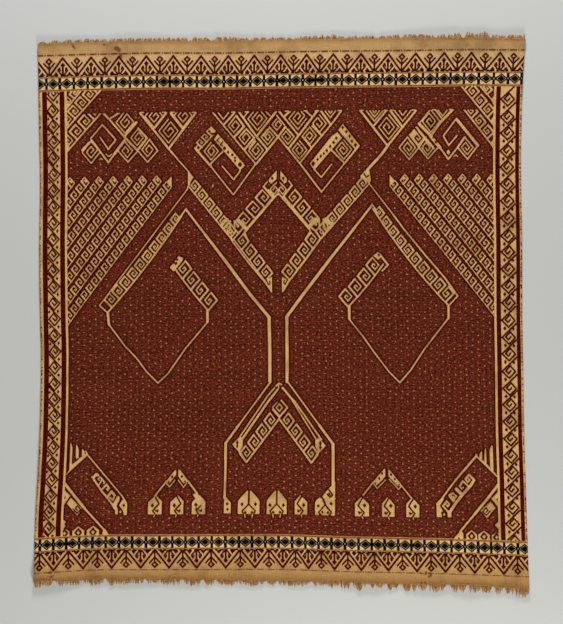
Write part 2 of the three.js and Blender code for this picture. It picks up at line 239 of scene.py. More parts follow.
class Chart:
    """The weaver's chart: which yarn lies on the face at each point of the flat layout.

    Rows are picks of the extra weft, and the columns are finer than a thread, so that a
    float may end anywhere along its pick. Figures are taller than they are wide by the
    rise, a coil's line has one width, and its innermost corner stays an eye from its middle.
    """

    rise = 1.25
    coil_line = 1.75
    eye = 0.4

    def __init__(self, layout: Layout, pick: float = 1.0, fine: float = 0.45) -> None:
        """Starts a chart of bare ground.

        Args:
            layout: the flat layout that the chart covers.
            pick: distance from one extra weft to the next.
            fine: width of a column.
        """
        self.pick = pick
        self.fine = fine
        self.u = np.arange(-layout.half_width + fine / 2, layout.half_width, fine)
        self.v = np.arange(layout.bottom_end + pick / 2, layout.top_end, pick)
        self.yarn = np.zeros((len(self.v), len(self.u)), dtype=np.int8)

    def window(self, low_u: float, high_u: float, low_v: float, high_v: float) -> tuple:
        """The part of the chart inside a box, as its slices and its u and v grids."""
        columns = slice(*np.searchsorted(self.u, (low_u, high_u)))
        rows = slice(*np.searchsorted(self.v, (low_v, high_v)))
        uu, vv = np.meshgrid(self.u[columns], self.v[rows])
        return (rows, columns), uu, vv

    def stroke(self, points: list[Point], width: float, yarn: Yarn = Yarn.GROUND) -> None:
        """Draws a line: every cell within half its width of the line's segments.

        Args:
            points: the line's corners in order.
            width: width of the line, square to it.
            yarn: the yarn that it is drawn in.
        """
        reach = width / 2
        for (u0, v0), (u1, v1) in zip(points, points[1:]):
            box = (min(u0, u1) - reach, max(u0, u1) + reach, min(v0, v1) - reach, max(v0, v1) + reach)
            at, uu, vv = self.window(*box)
            run_u, run_v = u1 - u0, v1 - v0
            along = ((uu - u0) * run_u + (vv - v0) * run_v) / (run_u ** 2 + run_v ** 2 + 1e-9)
            along = np.clip(along, 0, 1)
            distance = np.hypot(uu - u0 - along * run_u, vv - v0 - along * run_v)
            self.yarn[at][distance <= reach] = yarn

    def shape(self, points: list[Point]) -> None:
        """Bares a closed outline: cells with an odd number of its sides to their right."""
        outline = np.array(points, dtype=float)
        low, high = outline.min(axis=0), outline.max(axis=0)
        at, uu, vv = self.window(low[0], high[0], low[1], high[1])
        inside = np.zeros(uu.shape, dtype=bool)
        for (u0, v0), (u1, v1) in zip(outline, np.roll(outline, -1, axis=0)):
            crosses = (v0 > vv) != (v1 > vv)
            side = u0 + (vv - v0) * (u1 - u0) / (v1 - v0 + 1e-12)
            inside ^= crosses & (uu < side)
        self.yarn[at][inside] = Yarn.GROUND

    def diamond(self, u: float, v: float, half: float, yarn: Yarn = Yarn.GROUND) -> None:
        """Fills a diamond, given half its width. Its height is its width times the rise."""
        tall = half * self.rise
        at, uu, vv = self.window(u - half, u + half, v - tall, v + tall)
        self.yarn[at][np.abs(uu - u) / half + np.abs(vv - v) / tall <= 1] = yarn

    def block(self, low_u: float, high_u: float, low_v: float, high_v: float, yarn: Yarn) -> None:
        """Fills an upright box."""
        at, _, _ = self.window(low_u, high_u, low_v, high_v)
        self.yarn[at] = yarn

    def slanted(self, at: Point, steps: list[Point]) -> list[Point]:
        """Points from steps along the two diagonals of the weave.

        A step (a, b) goes a up to the right and b down to the right, both measured across.
        """
        return [(at[0] + (a + b), at[1] + self.rise * (a - b)) for a, b in steps]

    def coil(self, at: Point, half: float, start: Corner, hand: int, gap: float) -> None:
        """Draws a square coil that stands on its corner and winds in to its middle.

        Its sides run along the weave's diagonals, and each ring lies one gap inside the
        last.

        Args:
            at: its middle.
            half: half its width across, from corner to corner.
            start: the corner that it starts at.
            hand: 1 winds from right to top, -1 from right to bottom.
            gap: distance between rings, along a diagonal.
        """
        h = half / 2
        steps = [(h, h)]
        for side in range(int(np.ceil(h / gap * 4))):
            ring, quarter = divmod(side, 4)
            r = max(h - ring * gap, self.eye)
            inner = max(r - gap, self.eye)
            steps.append([(r, -r), (-r, -r), (-r, r), (inner, r)][quarter])
        for _ in range(start * hand % 4):
            steps = [(b, -a) for a, b in steps]
        if hand < 0:
            steps = [(b, a) for a, b in steps]
        self.stroke(self.slanted(at, steps), self.coil_line)

    def ring(self, at: Point, half: float, width: float = 1.8, yarn: Yarn = Yarn.GROUND) -> None:
        """Draws a closed diamond outline."""
        h = half / 2
        steps = [(h, h), (h, -h), (-h, -h), (-h, h), (h, h)]
        self.stroke(self.slanted(at, steps), width, yarn)


@dataclass(frozen=True)
class Unit:
    """One hook of a hooked band, as a line in shares of its own cell.

    Each point is (depth into the band from its outer line, distance back along the band),
    and each width belongs to the segment that starts at its point.
    """

    points: tuple[Point, ...]
    widths: tuple[float, ...]


# A thick bar crosses the band and turns back on itself into a coil.
COIL_UNIT = Unit(
    points=((0, 0), (1, 0), (1, 0.70), (0.28, 0.70), (0.28, 0.28), (0.66, 0.28), (0.66, 0.47), (0.5, 0.47)),
    widths=(2.7, 2.6, 1.8, 1.8, 1.8, 1.8, 1.8),
)
# A thick bar crosses the band and bends back into a short hook.
HOOK_UNIT = Unit(
    points=((0, 0), (1, 0), (1, 0.58), (0.38, 0.58), (0.38, 0.34), (0.56, 0.34)),
    widths=(2.5, 1.6, 1.5, 1.6, 1.7),
)


# Columns: u, v, half width, corner that it starts at, hand, distance of its rings.
LATTICE_COILS = (
    (-266.0, 227.5, 12.5, RIGHT, -1, 3.0), (-215.2, 228.2, 7.4, TOP, -1, 2.7),
    (-218.0, 268.5, 12.4, TOP, 1, 3.0), (-201.3, 246.5, 8.7, TOP, 1, 2.7),
    (-186.8, 229.5, 7.8, TOP, 1, 2.6), (-157.1, 255.5, 13.4, TOP, 1, 3.1),
    (-177.3, 276.3, 12.6, TOP, 1, 3.0), (-136.6, 276.8, 12.8, TOP, 1, 3.0),
    (-97.3, 227.2, 9.9, TOP, 1, 2.5), (-65.4, 263.0, 7.8, TOP, 1, 2.6),
    (-50.5, 246.0, 7.8, TOP, 1, 2.6), (-34.6, 227.5, 10.2, TOP, 1, 2.6),
    (-32.3, 272.0, 13.3, TOP, 1, 3.0), (-18.0, 246.3, 8.8, TOP, 1, 2.5),
    (-5.0, 263.2, 6.6, TOP, 1, 2.3), (10.5, 246.3, 8.6, TOP, -1, 2.5),
    (24.5, 271.5, 12.4, RIGHT, -1, 2.9), (26.8, 227.3, 10.3, TOP, -1, 2.6),
    (41.0, 247.2, 9.5, LEFT, -1, 2.6), (54.8, 264.0, 9.6, TOP, -1, 2.8),
    (89.0, 227.5, 11.0, TOP, -1, 2.7), (152.0, 258.5, 14.0, TOP, -1, 3.1),
    (211.3, 266.0, 12.3, TOP, -1, 3.0), (193.8, 243.2, 7.6, TOP, -1, 2.5),
    (181.0, 229.5, 8.4, TOP, -1, 2.5), (207.0, 229.5, 8.4, TOP, -1, 2.5),
    (262.5, 229.5, 8.0, TOP, -1, 2.5),
)

# Columns: u, half width.
LATTICE_RINGS = (
    (-80.0, 7.2), (131.9, 11.5), (131.9, 6.8), (131.9, 2.4), (171.6, 11.5), (171.6, 5.2),
    (70.0, 7.2), (70.0, 2.4), (227.5, 6.4),
)
# Middles across of the short bars that close the row at its top.
LATTICE_CAPS = (-194, -163, -151.5, -121, -66, -47, 9, 35, 51, 83, 113.5, 147.5, 156.5, 187, 215.5, 239)
# Columns: first point and last point of each row of dashes.
DASH_ROWS = (
    ((-203, 281), (-172, 243)), ((-116.5, 276), (-147, 238)), ((-109, 275), (-131, 248)),
    ((-103, 276), (-122, 252)), ((-90, 268), (-49, 217)), ((-81, 258), (-62, 235)),
    ((62, 243), (83, 268)), ((89.4, 277), (110, 253)), ((100, 281), (118, 259)),
    ((196, 279), (166, 243)), ((246, 279), (219, 247)), ((252, 279), (289, 235)),
    ((-257, 268), (-286, 236)), ((-262, 277), (-290, 246)),
)

# The upper row. A table of lines gives, for each width, its lines as u and v of every
# corner in turn.
LEFT_LATTICE_LINES = {
    1.5: ((-254.8, 216.3, -252, 218.6, -249.7, 216.3),),
    1.6: ((-244.8, 224.3, -241.3, 220.3, -236.8, 224.3),),
    1.9: ((-241.9, 231.1, -253.5, 248.5), (-218.5, 241.5, -208, 228), (-184, 243.4, -193.5, 231.5)),
    2: (
        (-227.8, 228, -214.3, 212.3, -200.8, 227.5),
        (-184, 244, -172.5, 228, -186.7, 211.8, -199.8, 227.5), (-150, 222, -128.5, 197.5),
    ),
    2.3: ((-219, 243, -241.9, 212.3, -266.4, 246.6, -249.7, 265.9, -231, 244, -241.9, 231.1),),
    2.6: ((-241.3, 274.9, -218.8, 247.8), (-240, 273.5, -226, 282)),
    2.8: ((-176.4, 260, -160, 281), (-157, 230.5, -150, 222)),
    3: (
        (-218.8, 247.5, -200.8, 228.5), (-199.6, 259.5, -187.3, 245.8, -199.6, 230.5),
        (-197, 281.5, -157, 230.5, -118.5, 281.5),
    ),
    3.2: ((-247.5, 281.5, -241.3, 274.5),),
    3.4: ((-219.5, 248, -202, 268),),
    3.6: ((-219, 243, -233, 224.5), (-278, 231, -268.3, 241)),
    3.8: ((-136.5, 259, -153.2, 280),),
}

MIDDLE_LATTICE_LINES = {
    1.8: ((-21.2, 282.5, -14.1, 275.5), (-114.5, 228.5, -94.5, 250.5)),
    1.9: (
        (-73, 263, -61.9, 277), (-58.3, 246, -47.8, 257.5), (-36, 242, -44, 231),
        (-14.8, 258.5, -24, 248), (-5.5, 276.5, 6, 262), (7.8, 258.5, 17.8, 247),
    ),
    2: (
        (-34.9, 208.5, -66.4, 165.5, -98, 206), (-81.9, 206, -65.8, 187, -56.8, 199),
        (-51, 275, -45, 282), (90, 208.3, 57.5, 168.3), (72, 207.3, 57.2, 188.7, 47, 200),
    ),
    2.2: (
        (-96, 283.3, -34.9, 208.5), (-99.5, 208, -81.2, 226.6), (-47.8, 257.8, -36.8, 245.3),
        (32.2, 284.6, 43.8, 274.3),
    ),
    2.4: (
        (-15.8, 260, -3.2, 246, 27.1, 208.6, 57.5, 168.3),
        (27.1, 208.6, 45, 231.5, 71.4, 262.7, 84.9, 281), (30.9, 246, 43.8, 230.2),
        (71.4, 227.3, 90, 208.3),
    ),
    2.6: (
        (-78.7, 265.3, -64.5, 281), (-2.5, 282.5, 24.5, 249), (45, 260.5, 57.9, 247.2),
        (110.5, 233, 90, 208.3),
    ),
    2.8: (
        (-61.9, 277, -51, 261.4), (-58, 282, -35, 249, -18.6, 228.8), (-34, 208.5, -3.2, 246, 7.1, 260),
    ),
    3: (
        (-36.8, 245.3, -49.7, 229.9), (-32.1, 249, -6.4, 281), (4.6, 273.6, 13.6, 282),
        (52.8, 283.3, 11.6, 229.4), (57.2, 281, 70, 263.3),
    ),
    3.2: ((-98, 206, -120, 231.5), (-51, 261.4, -64.5, 247.2)),
}

# A table of outlines gives filled shapes, each as u and v of every corner in turn.
PANEL_OUTLINES = (
    (-93.5, 244, -87.7, 251.7, -49.7, 206.7, -56.8, 199.6),
    (-97.3, 263.2, -90.5, 255.6, -93.5, 252, -100.2, 257.5),
    (-121.3, 231.5, -115, 238.5, -109.5, 233, -116, 225.6),
    (87.5, 263.2, 111.8, 232.4, 105.5, 226.8, 81, 254.5),
    (41, 208, 47.6, 199, 73, 228.5, 86.5, 243.5, 80, 252, 72, 246.5),
)

# Columns of a table of dots: u, v, half the width.
PANEL_DOTS = (
    (-56.8, 208, 3.3), (-63.7, 213.3, 1.9), (-63.9, 217.6, 1.7), (-67.7, 221.8, 2.1), (-73.5, 225.6, 2.1),
    (-78.6, 231.3, 2.5), (-115.3, 232.2, 2.4), (87.5, 258.2, 2.2), (92.6, 252.4, 2.2), (97.1, 246, 2.2),
    (100.3, 239, 2.2), (105.4, 233.6, 2.6), (78.5, 243.4, 2.2), (74.6, 237.5, 2.2), (70, 231.8, 2.2),
    (65, 226.2, 2.2), (61, 222, 2), (56.6, 218.3, 2.1), (52.3, 213.8, 2), (45.9, 207.8, 3),
)

PANEL_MARKS = {
    1.4: ((-96, 250.5, -89.5, 254.5),),
    1.5: ((-88, 241.5, -85.5, 239),),
    1.6: ((-81, 240.5, -84.5, 236.5, -81.5, 234.5), (-85, 246.5, -89.5, 242)),
    2: ((81, 253.5, 97.5, 233),),
}

RIGHT_LATTICE_LINES = {
    1.5: ((243.5, 217, 246.2, 219, 249, 217),),
    1.9: (
        (152, 275, 166.3, 258.5), (179.5, 243, 189, 231), (202.2, 241.5, 214, 229.5),
        (259, 243.4, 270, 230.5),
    ),
    2: (
        (209.3, 281.3, 194.5, 262.7), (178.4, 244.7, 166.8, 229.9, 181, 213.3, 194.5, 230),
        (194.5, 230, 207.4, 214, 221.5, 229.4),
    ),
    2.2: (
        (181.5, 247.5, 194.5, 230.5, 204.2, 243.8), (277.2, 232, 262.9, 213.2, 250, 228.5),
        (246.8, 269.5, 228.8, 245.3, 236.5, 232.4, 248, 246),
    ),
    2.4: ((224, 229.5, 235.9, 213.2, 250, 231),),
    2.6: ((190.6, 258.2, 215.5, 228.5), (214.6, 286, 226.2, 269.8)),
    2.8: ((131.5, 261, 148.2, 281.5), (226, 266, 210.8, 244.7)),
    3: ((110.6, 283, 117, 275.5, 150.5, 232.5, 190.6, 282), (250, 231, 259, 244)),
    3.2: ((154, 281.5, 170.5, 259.5),),
    3.4: ((242.3, 282.5, 226, 266),),
    3.8: ((150.5, 232, 141.7, 220.2, 122, 199),),
    4: ((194.5, 262.7, 212.5, 244.7),),
    4.2: ((247.5, 268, 277.2, 232.5),),
    4.4: ((210.8, 245.5, 224, 229.5),),
}

# The leaf on the middle line, and the trunk under it.
LEAF_OUTLINES = (
    (-5.6, 198.6, -16.3, 187.2, -16, 183, -13.3, 179.6, -9.4, 183, -5.6, 187),
    (-0.2, 198.6, 9.1, 187.2, 9.1, 183, 5.5, 179.6, 3.3, 182.8, -0.2, 186.6),
    (-12.6, 50, -12.6, 28, -22.4, 42), (1.2, 50, 1.2, 28, 11.8, 43),
)

LEAF_LINES = {
    1.9: (
        (-5.6, 182, -10, 176.5), (-0.8, 182, 3.6, 176.5), (-17.3, 172, -9.4, 162.4),
        (-24.4, 176.1, -18.3, 183.3), (16.1, 177.8, 11.7, 184.4),
    ),
    2: (
        (-3.3, 171.5, -3.3, 165), (-68.9, 101.7, -44.4, 68.3, -22.2, 41.7, -13.3, 28.3),
        (56.1, 102.8, 34.4, 72.8, 11.1, 42.8, 2.2, 28.3),
    ),
    2.2: ((-50.8, 113.5, -45.6, 99.4), (41, 112.5, 34.4, 101.7)),
    2.3: ((-84, 123.4, -74.4, 111, -67.4, 101.6), (73.2, 125.6, 64.6, 114, 56.2, 102.8)),
    2.4: ((-49, 114, -3.3, 167, 41, 115), (-52.4, 119.3, -60, 110.2, -67.4, 101.8)),
    2.8: ((-23.8, 176.6, -11.5, 161.6), (15.8, 177.8, 4, 162), (41.5, 120, 48.7, 113.8, 56.2, 103)),
    4.6: ((-59.8, 130.6, -50, 120), (49.4, 130.8, 40.6, 120.6)),
    4.8: ((-82.2, 123.8, -75.4, 131),),
    5: ((69.8, 124.2, 64, 131),),
}

LEAF_MARKS = {
    1.6: ((-20.6, 45.6, -17.2, 38, -15.2, 40.5, -16, 43.6), (9.4, 46.6, 5.8, 38.6, 3.8, 41, 4.6, 44)),
}

TRUNK_LINES = {
    1.7: ((-128.6, 180, -131.4, 173, -197.4, 85.1, -254.3, 11.5),),
    1.8: ((124.6, 180, 158.3, 136.2),),
    2.4: ((158.3, 136.2, 171.7, 117.8, 200, 83.2, 229.9, 48.5, 247.6, 24),),
    3: ((-132.6, 145, -106, 110), (127.6, 149, 104, 119)),
    3.8: ((-106, 110, -80, 75.6), (104, 119, 70, 76)),
    4.3: ((-80, 75.6, -43.3, 25, -17, -7.5), (70, 76, 31.1, 25, 7.5, -7)),
    4.4: ((-17, -7.5, -17, -98), (7.5, -7, 6.9, -98)),
}

# The two large pointed frames.
DIAMOND_LINES = {
    2.1: (
        (-242, -16, -220, -47, -204, -64, -190, -83, -174, -99),
        (-174, -99, -160, -86, -135, -50, -104, -14), (233.5, -8, 200, -50, 180, -80, 165, -97),
        (165, -97, 150, -82, 130, -56, 114, -33, 96.5, -11),
    ),
    2.2: ((-254.5, 11, -243.9, 0.7), (248, 24.4, 234.8, 10.2)),
    2.3: ((-132.6, 146, -142, 133), (128.4, 151, 134, 143)),
    2.4: ((150.5, 67, 142, 58.5),),
    3: ((-150.3, 59.5, -138.5, 75), (150, 67, 138, 82)),
    3.5: ((-243.4, 1, -242, -16), (-103.6, -13, -103.4, 3), (234.6, 10, 234.6, -7), (95.5, -9, 95.3, 8)),
}

DIAMOND_OUTLINES = (
    (-155.5, 63.5, -150.6, 69.5, -146.5, 66, -150.5, 57.5),
    (-149, 71.5, -143, 80, -136.6, 76.5, -142, 69.5), (129.5, 79.5, 135.8, 85, 142, 79, 136.5, 73.5),
)

# The house, and the small gables beside it.
HOUSE_LINES = {
    1.9: ((14, -123.6, 49, -180), (-6.8, -126.7, -13.2, -133.9)),
    2: (
        (-5, -101, -5, -107), (-10.4, -106.4, -20, -117.6, -58, -174), (-59, -195.5, -49, -210.7),
        (51, -195.5, 41, -210.7),
    ),
    2.2: ((-16, -98, -60, -158), (7, -97, 52, -158), (16, -123, 55, -178)),
    2.4: ((-8.2, -103.9, -4.3, -100.3, -0.7, -101.9),),
    2.6: ((-1.3, -124.2, 7.5, -134.2, -3.6, -147.4),),
    3: ((-6.2, -109, -20, -126.7, -56, -179), (0.7, -106.4, 15, -123.6)),
    3.2: ((-60, -158, -78.4, -184),),
    3.3: ((-78.4, -184, -78, -258),),
    3.4: ((52, -158, 71.4, -184), (-12.2, -137, -3.8, -147)),
    4.2: ((71.4, -184, 71.4, -240),),
}

HOUSE_OUTLINES = (
    (-69.3, -185.6, -58.4, -174.3, -54.2, -179.2, -54.8, -189, -59.8, -197),
    (61.2, -186.6, 51, -175.5, 46.3, -180, 47, -189.5, 51.6, -197),
    (-79.6, -257, -75.8, -260, -69.3, -267.8, -69.3, -283.4, -79, -283.4, -79, -263, -80.6, -261),
    (
        69.4, -242, 63.6, -248.1, 56.5, -257.8, 59.4, -261, 62.6, -269.6, 70.4, -278.9, 68.3, -283.5,
        74.4, -283.5, 74.4, -263.4, 73, -263, 75.6, -259.6, 74, -258.5, 74, -236,
    ),
    (
        53.3, -259.2, 50.4, -260.6, 46.9, -266, 46.9, -283.5, 52.2, -283.5, 50.8, -279.6, 58.6, -270.3,
        59, -267.4, 55.8, -260.3,
    ),
    (60.4, -270.8, 68, -279.8, 65, -283.5, 56, -283.5, 53, -279.8),
)

HOUSE_MARKS = {
    1.7: ((-62.3, -181, -62.3, -190), (53.5, -181, 53.5, -191)),
    2: ((65.4, -247.8, 70.8, -254.6, 67.6, -258.5, 63.6, -254.6, 65.8, -252.8, 67.4, -254.9),),
}

HOUSE_DOTS = (
    (-62.3, -183.2, 2.2), (-62.3, -187.9, 2), (53.5, -183.6, 2.2), (53.5, -189.2, 2.2),
    (-74.3, -269.5, 2.2), (-73.7, -277.2, 2), (68.8, -267.2, 2.4), (51.2, -271, 2.1), (56.9, -279.6, 1.9),
    (64.4, -280, 1.9),
)

GABLE_OUTLINES = (
    (-146.2, -221.4, -148, -221.8, -160, -237.4, -157.6, -239.8, -155.2, -240.4, -146.2, -228.4),
    (-143.3, -220.4, -141, -221.2, -128.8, -237.2, -132, -239.2, -136.2, -240.4, -143.3, -230),
    (-122.5, -256.5, -116.5, -253.6, -106.8, -266.8, -107.2, -272, -110, -272),
    (143.6, -217.2, 141.8, -217.6, 125.6, -236.4, 129, -239.2, 132.4, -240.2, 143.6, -228),
    (148.2, -218.2, 149.6, -218.7, 167.4, -240.6, 164, -241.4, 160.6, -240.6, 148.2, -227.8),
)

GABLE_LINES = {
    1.6: (
        (-147.9, -236, -154.7, -245.4, -159.4, -240), (-143, -235.8, -135.4, -246, -131, -240),
        (144.2, -232.4, 132.4, -244.8, 127.9, -238.5), (149, -231.8, 161.7, -245.4, 165.4, -241.3),
    ),
    1.9: ((166, -240.4, 180.2, -258),),
    2.2: ((127, -236, 113.2, -254),),
    2.3: ((-159, -237, -174.8, -258.5),),
    2.5: ((-129.7, -237, -116, -255),),
}

GABLE_DOTS = (
    (-151.4, -231, 1.9), (-138.2, -230.6, 1.9), (139.1, -223.6, 1.9), (135.1, -231, 1.9),
    (151.4, -225, 1.8), (156.8, -231.2, 1.8), (-156.2, -238.4, 1.4), (-133.6, -237.6, 1.4),
    (129.8, -237.4, 1.4), (162.6, -239.2, 1.3), (-116.6, -276.6, 2), (111.4, -256.8, 1.2),
)

# The lower corners.
SPIKE_OUTLINES = (
    (-295, -219.5, -295, -180.5, -294, -180.8, -291.6, -188, -291.6, -211.3),
    (-286.4, -204, -286.8, -183.8, -285.2, -184.4, -282.8, -191, -282.4, -202.8),
    (-278.2, -200, -278, -190.4, -276.6, -191, -274.6, -194.5, -273.8, -198.6),
    (-300, -227.2, -295, -219.5, -291.6, -211.4, -285, -206.8, -281, -203, -272, -197, -270.5, -199.8),
    (293.8, -219.5, 293.8, -182, 292, -181.4, 289.4, -187, 289.4, -211),
    (284.4, -208, 284.2, -186, 283, -186, 282, -192, 281.4, -203),
    (278.6, -201, 278.6, -189.8, 277, -190.6, 275, -194.5, 274.6, -200),
    (298.4, -223.2, 293.6, -217, 289.2, -212, 284, -207, 279, -202.5, 271, -196, 270.6, -198),
)

CORNER_LINES = {
    2: ((-272.8, -193.8, -271, -198.2, -249.7, -223.3, -220, -257.6, -213.2, -268),),
    2.2: ((270.6, -194.6, 270.4, -197, 298.3, -223.9),),
    2.4: ((240.4, -231.6, 229.7, -245.9, 222.5, -256, 214.6, -264.6),),
    2.5: ((-270.9, -274, -243.2, -305),),
    2.6: ((266, -278, 246, -302),),
    3: ((270.4, -197, 240.4, -231.6),),
    3.6: ((299, -236.5, 287, -252.4, 266, -278),),
    3.8: ((-299.9, -238, -270.9, -274),),
}

HOOKED_BAR_LINES = {
    2: (
        (-252, -241, -248.3, -234.2, -251.4, -230.9, -253.8, -233.6, -252.2, -235.2),
        (-239.8, -249.4, -241.4, -247.6), (246.4, -239.4, 249.2, -242.8, 251.4, -240.8),
        (236.7, -249, 241.8, -253.4, 239.3, -256.4, 237.6, -253.9),
    ),
    2.1: ((254.8, -229.4, 257.4, -233.6, 260.6, -230.6, 259.2, -228.8),),
    2.2: ((-248.4, -234.3, -244.9, -238, -245.6, -240.2),),
    2.3: (
        (-229.6, -256.6, -232.3, -263.8, -236, -260),
        (228.3, -260.8, 232, -264.6, 229.3, -268, 227.8, -265.6),
    ),
    2.4: ((222.8, -267.2, 230.4, -276),),
    2.5: ((258.3, -238.7, 250.8, -232),),
    2.7: ((-262.2, -230.4, -249.9, -248.6, -239.6, -260.7, -232.4, -270, -228.6, -276.4),),
    2.8: ((-247.6, -248, -241.8, -241.6, -238.2, -247, -239.8, -249.4),),
    2.9: ((250.8, -232.4, 246.4, -239.2), (232.6, -252, 236.7, -249.2), (223.4, -266.8, 228.3, -260.8)),
    3.4: ((266, -229.6, 259.7, -223.4, 254.8, -229),),
    3.6: ((-238.6, -257.8, -234.6, -251.8, -230, -256.8),),
    3.9: ((-260.6, -231.3, -256.8, -226.8, -254.6, -228.4),),
    4: ((266.4, -230.4, 261.4, -238.7, 249, -252.3, 239.6, -264.4, 233, -274.6),),
    4.4: ((237.6, -259.4, 232.6, -252.6),),
    4.6: ((247.9, -249.4, 241.8, -243.4),),
}

CORNER_OUTLINES = (
    (
        -225.7, -257.6, -223.6, -258, -222.5, -263, -225.8, -269.5, -226.4, -272.2, -224.8, -276,
        -224.8, -284, -228.1, -284, -228.3, -277, -231.7, -268.2,
    ),
    (
        -217.2, -262, -212.2, -269.5, -212, -284.5, -216.6, -284.5, -216.4, -281.4, -219.4, -276,
        -223.3, -271, -219.4, -264.4,
    ),
    (
        214, -264.6, 222.8, -254.8, 224.4, -257.7, 218.6, -267.2, 222.9, -274.2, 219.8, -277,
        221.4, -280.4, 221.4, -283.3, 214, -283.3,
    ),
    (229.4, -273, 234.6, -272.4, 234.6, -283.3, 229.8, -283.3, 229, -279),
    (-243.8, -303, -240.6, -305, -235, -315, -245.6, -315),
    (247, -301, 250, -303.6, 250, -315, 235.4, -315, 240, -308), (-300, -247, -291.3, -255.4, -300, -269),
    (-290.2, -258.4, -274.6, -274, -279.9, -284.6, -295.3, -266.4),
    (299, -246, 289.8, -255.4, 299, -266.5), (288.6, -259.4, 295.6, -268, 283, -282.4, 275, -272.4),
    (-300, -287.5, -295.6, -292.8, -297.8, -295, -296, -297.6, -300, -304),
    (299, -286.5, 293.8, -291.4, 296.4, -294.6, 299, -297),
)


@dataclass(frozen=True)
class Borders:
    """Sizes of the two ends and the two sides of the chart, in millimetres."""

    # Dark stripes of the sides, where each starts and ends across.
    side_stripes: tuple[Point, ...] = ((-333.6, -326.8), (-309.4, -302.6), (301.9, 308.4), (329.9, 335.4))
    field_left: float = -299.3
    field_right: float = 298.7
    cord_offset: float = 9.0
    cord_width: float = 2.0
    dotted_offset: float = 11.0
    dotted_half: float = 0.8
    end_line_width: float = 1.3
    low_line_nearer: float = 1.7
    most_coils: int = 29
    # Turns of the extra weft that show at the selvedges: share of picks, depth, half height.
    nick_share: float = 0.42
    nick_depth: Point = (0.9, 2.6)
    nick_half: float = 0.4
    low_first: float = -67.0
    low_pitch: float = 18.2
    top_lozenges: tuple[float, ...] = (
        -318, -299, -279, -260, -240, -220, -201.5, -182, -163.5, -146, -127, -107, -89, -70,
        -52, -33, -14, 3.5, 21.5, 40, 57, 76, 95, 113.5, 133, 151.5, 170, 188.5, 208.5, 228,
        246, 266, 287, 308, 327,
    )
    top_triangles: tuple[float, ...] = (
        -304, -264.5, -226, -187.6, -150, -111.4, -73.6, -37.4, -0.6, 35.3, 72.4, 111, 149,
        187, 226.7, 264.5, 304.4,
    )
    bottom_triangles: tuple[float, ...] = (
        -311.5, -271, -232, -192.5, -153.5, -116, -76, -36, 2, 37, 72.7, 109.3, 146.3, 185.4,
        224.4, 264.4, 304,
    )


@dataclass(frozen=True)
class Lozenge:
    """Sizes of one indigo lozenge and of the bar and links beside it, in millimetres."""

    half_width: float = 9.3
    half_height: float = 7.3
    # The pale ring in it, in shares of the way from its middle to its edge.
    ring_inside: float = 0.62
    ring_outside: float = 0.72
    bar_half: float = 1.9
    bar_break: float = 1.2
    link_from: float = 0.6
    link_to: float = 4.5
    link_slope: float = 0.42
    link_half: float = 0.9
    reach: float = 7.6
    # Steps from the first and the last measured lozenge to one more beyond each.
    extra_steps: Point = (18.6, 18.2)


@dataclass(frozen=True)
class Growth:
    """A small figure of an end row, about its own middle line.

    A line is its width and its corners, and a dot is a place and half its width. Each
    corner and place is a distance across and one outwards from the lozenge band.
    """

    lines: tuple[tuple[float, tuple[Point, ...]], ...]
    dots: tuple[tuple[float, float, float], ...]


PLANT = Growth(
    lines=(
        (2.5, ((0, 10.6), (0, 28.0))),
        (2.3, ((-7.2, 28.8), (0, 20.6), (7.4, 28.8))),
        (2.4, ((0, 27.7), (3.7, 31.3), (0, 34.9), (-3.7, 31.3), (0, 27.7))),
    ),
    dots=((0, 10.8, 4.0),),
)
TREE = Growth(
    lines=(
        (2.8, ((0, 10.6), (0, 26))),
        (2.3, ((-2, 12.5), (-6.8, 18.6), (-4.6, 22), (-3.6, 18.5))),
        (2.3, ((2, 12.5), (6.8, 18.6), (4.6, 22), (3.6, 18.5))),
    ),
    dots=((0, 25.6, 3.4), (0, 10.4, 4.0), (-9.4, 12.4, 3.5), (9.4, 12.4, 3.5)),
)


# Corners of one coil of a side border, across and along from its middle.
SIDE_COIL = (
    (-8.5, 19.5), (8.5, 0), (0.3, -9.3), (-7.2, 0), (-1.2, 8.0), (4.2, 0.6), (1.0, -2.8), (-1.8, 1.2),
)


@dataclass(frozen=True)
class Seeds:
    """The specks of bare ground in the plain field, in millimetres."""

    period: float = 16.5
    spacing: float = 4.62
    reach: Point = (310.0, 312.0)
    stray: Point = (0.5, 0.35)
    # Shares: specks left in place below and above a height, wide ones, doubled ones.
    upper_from: float = 60.0
    kept_below: float = 0.95
    kept_above: float = 0.78
    wide: float = 0.65
    doubled: float = 0.6


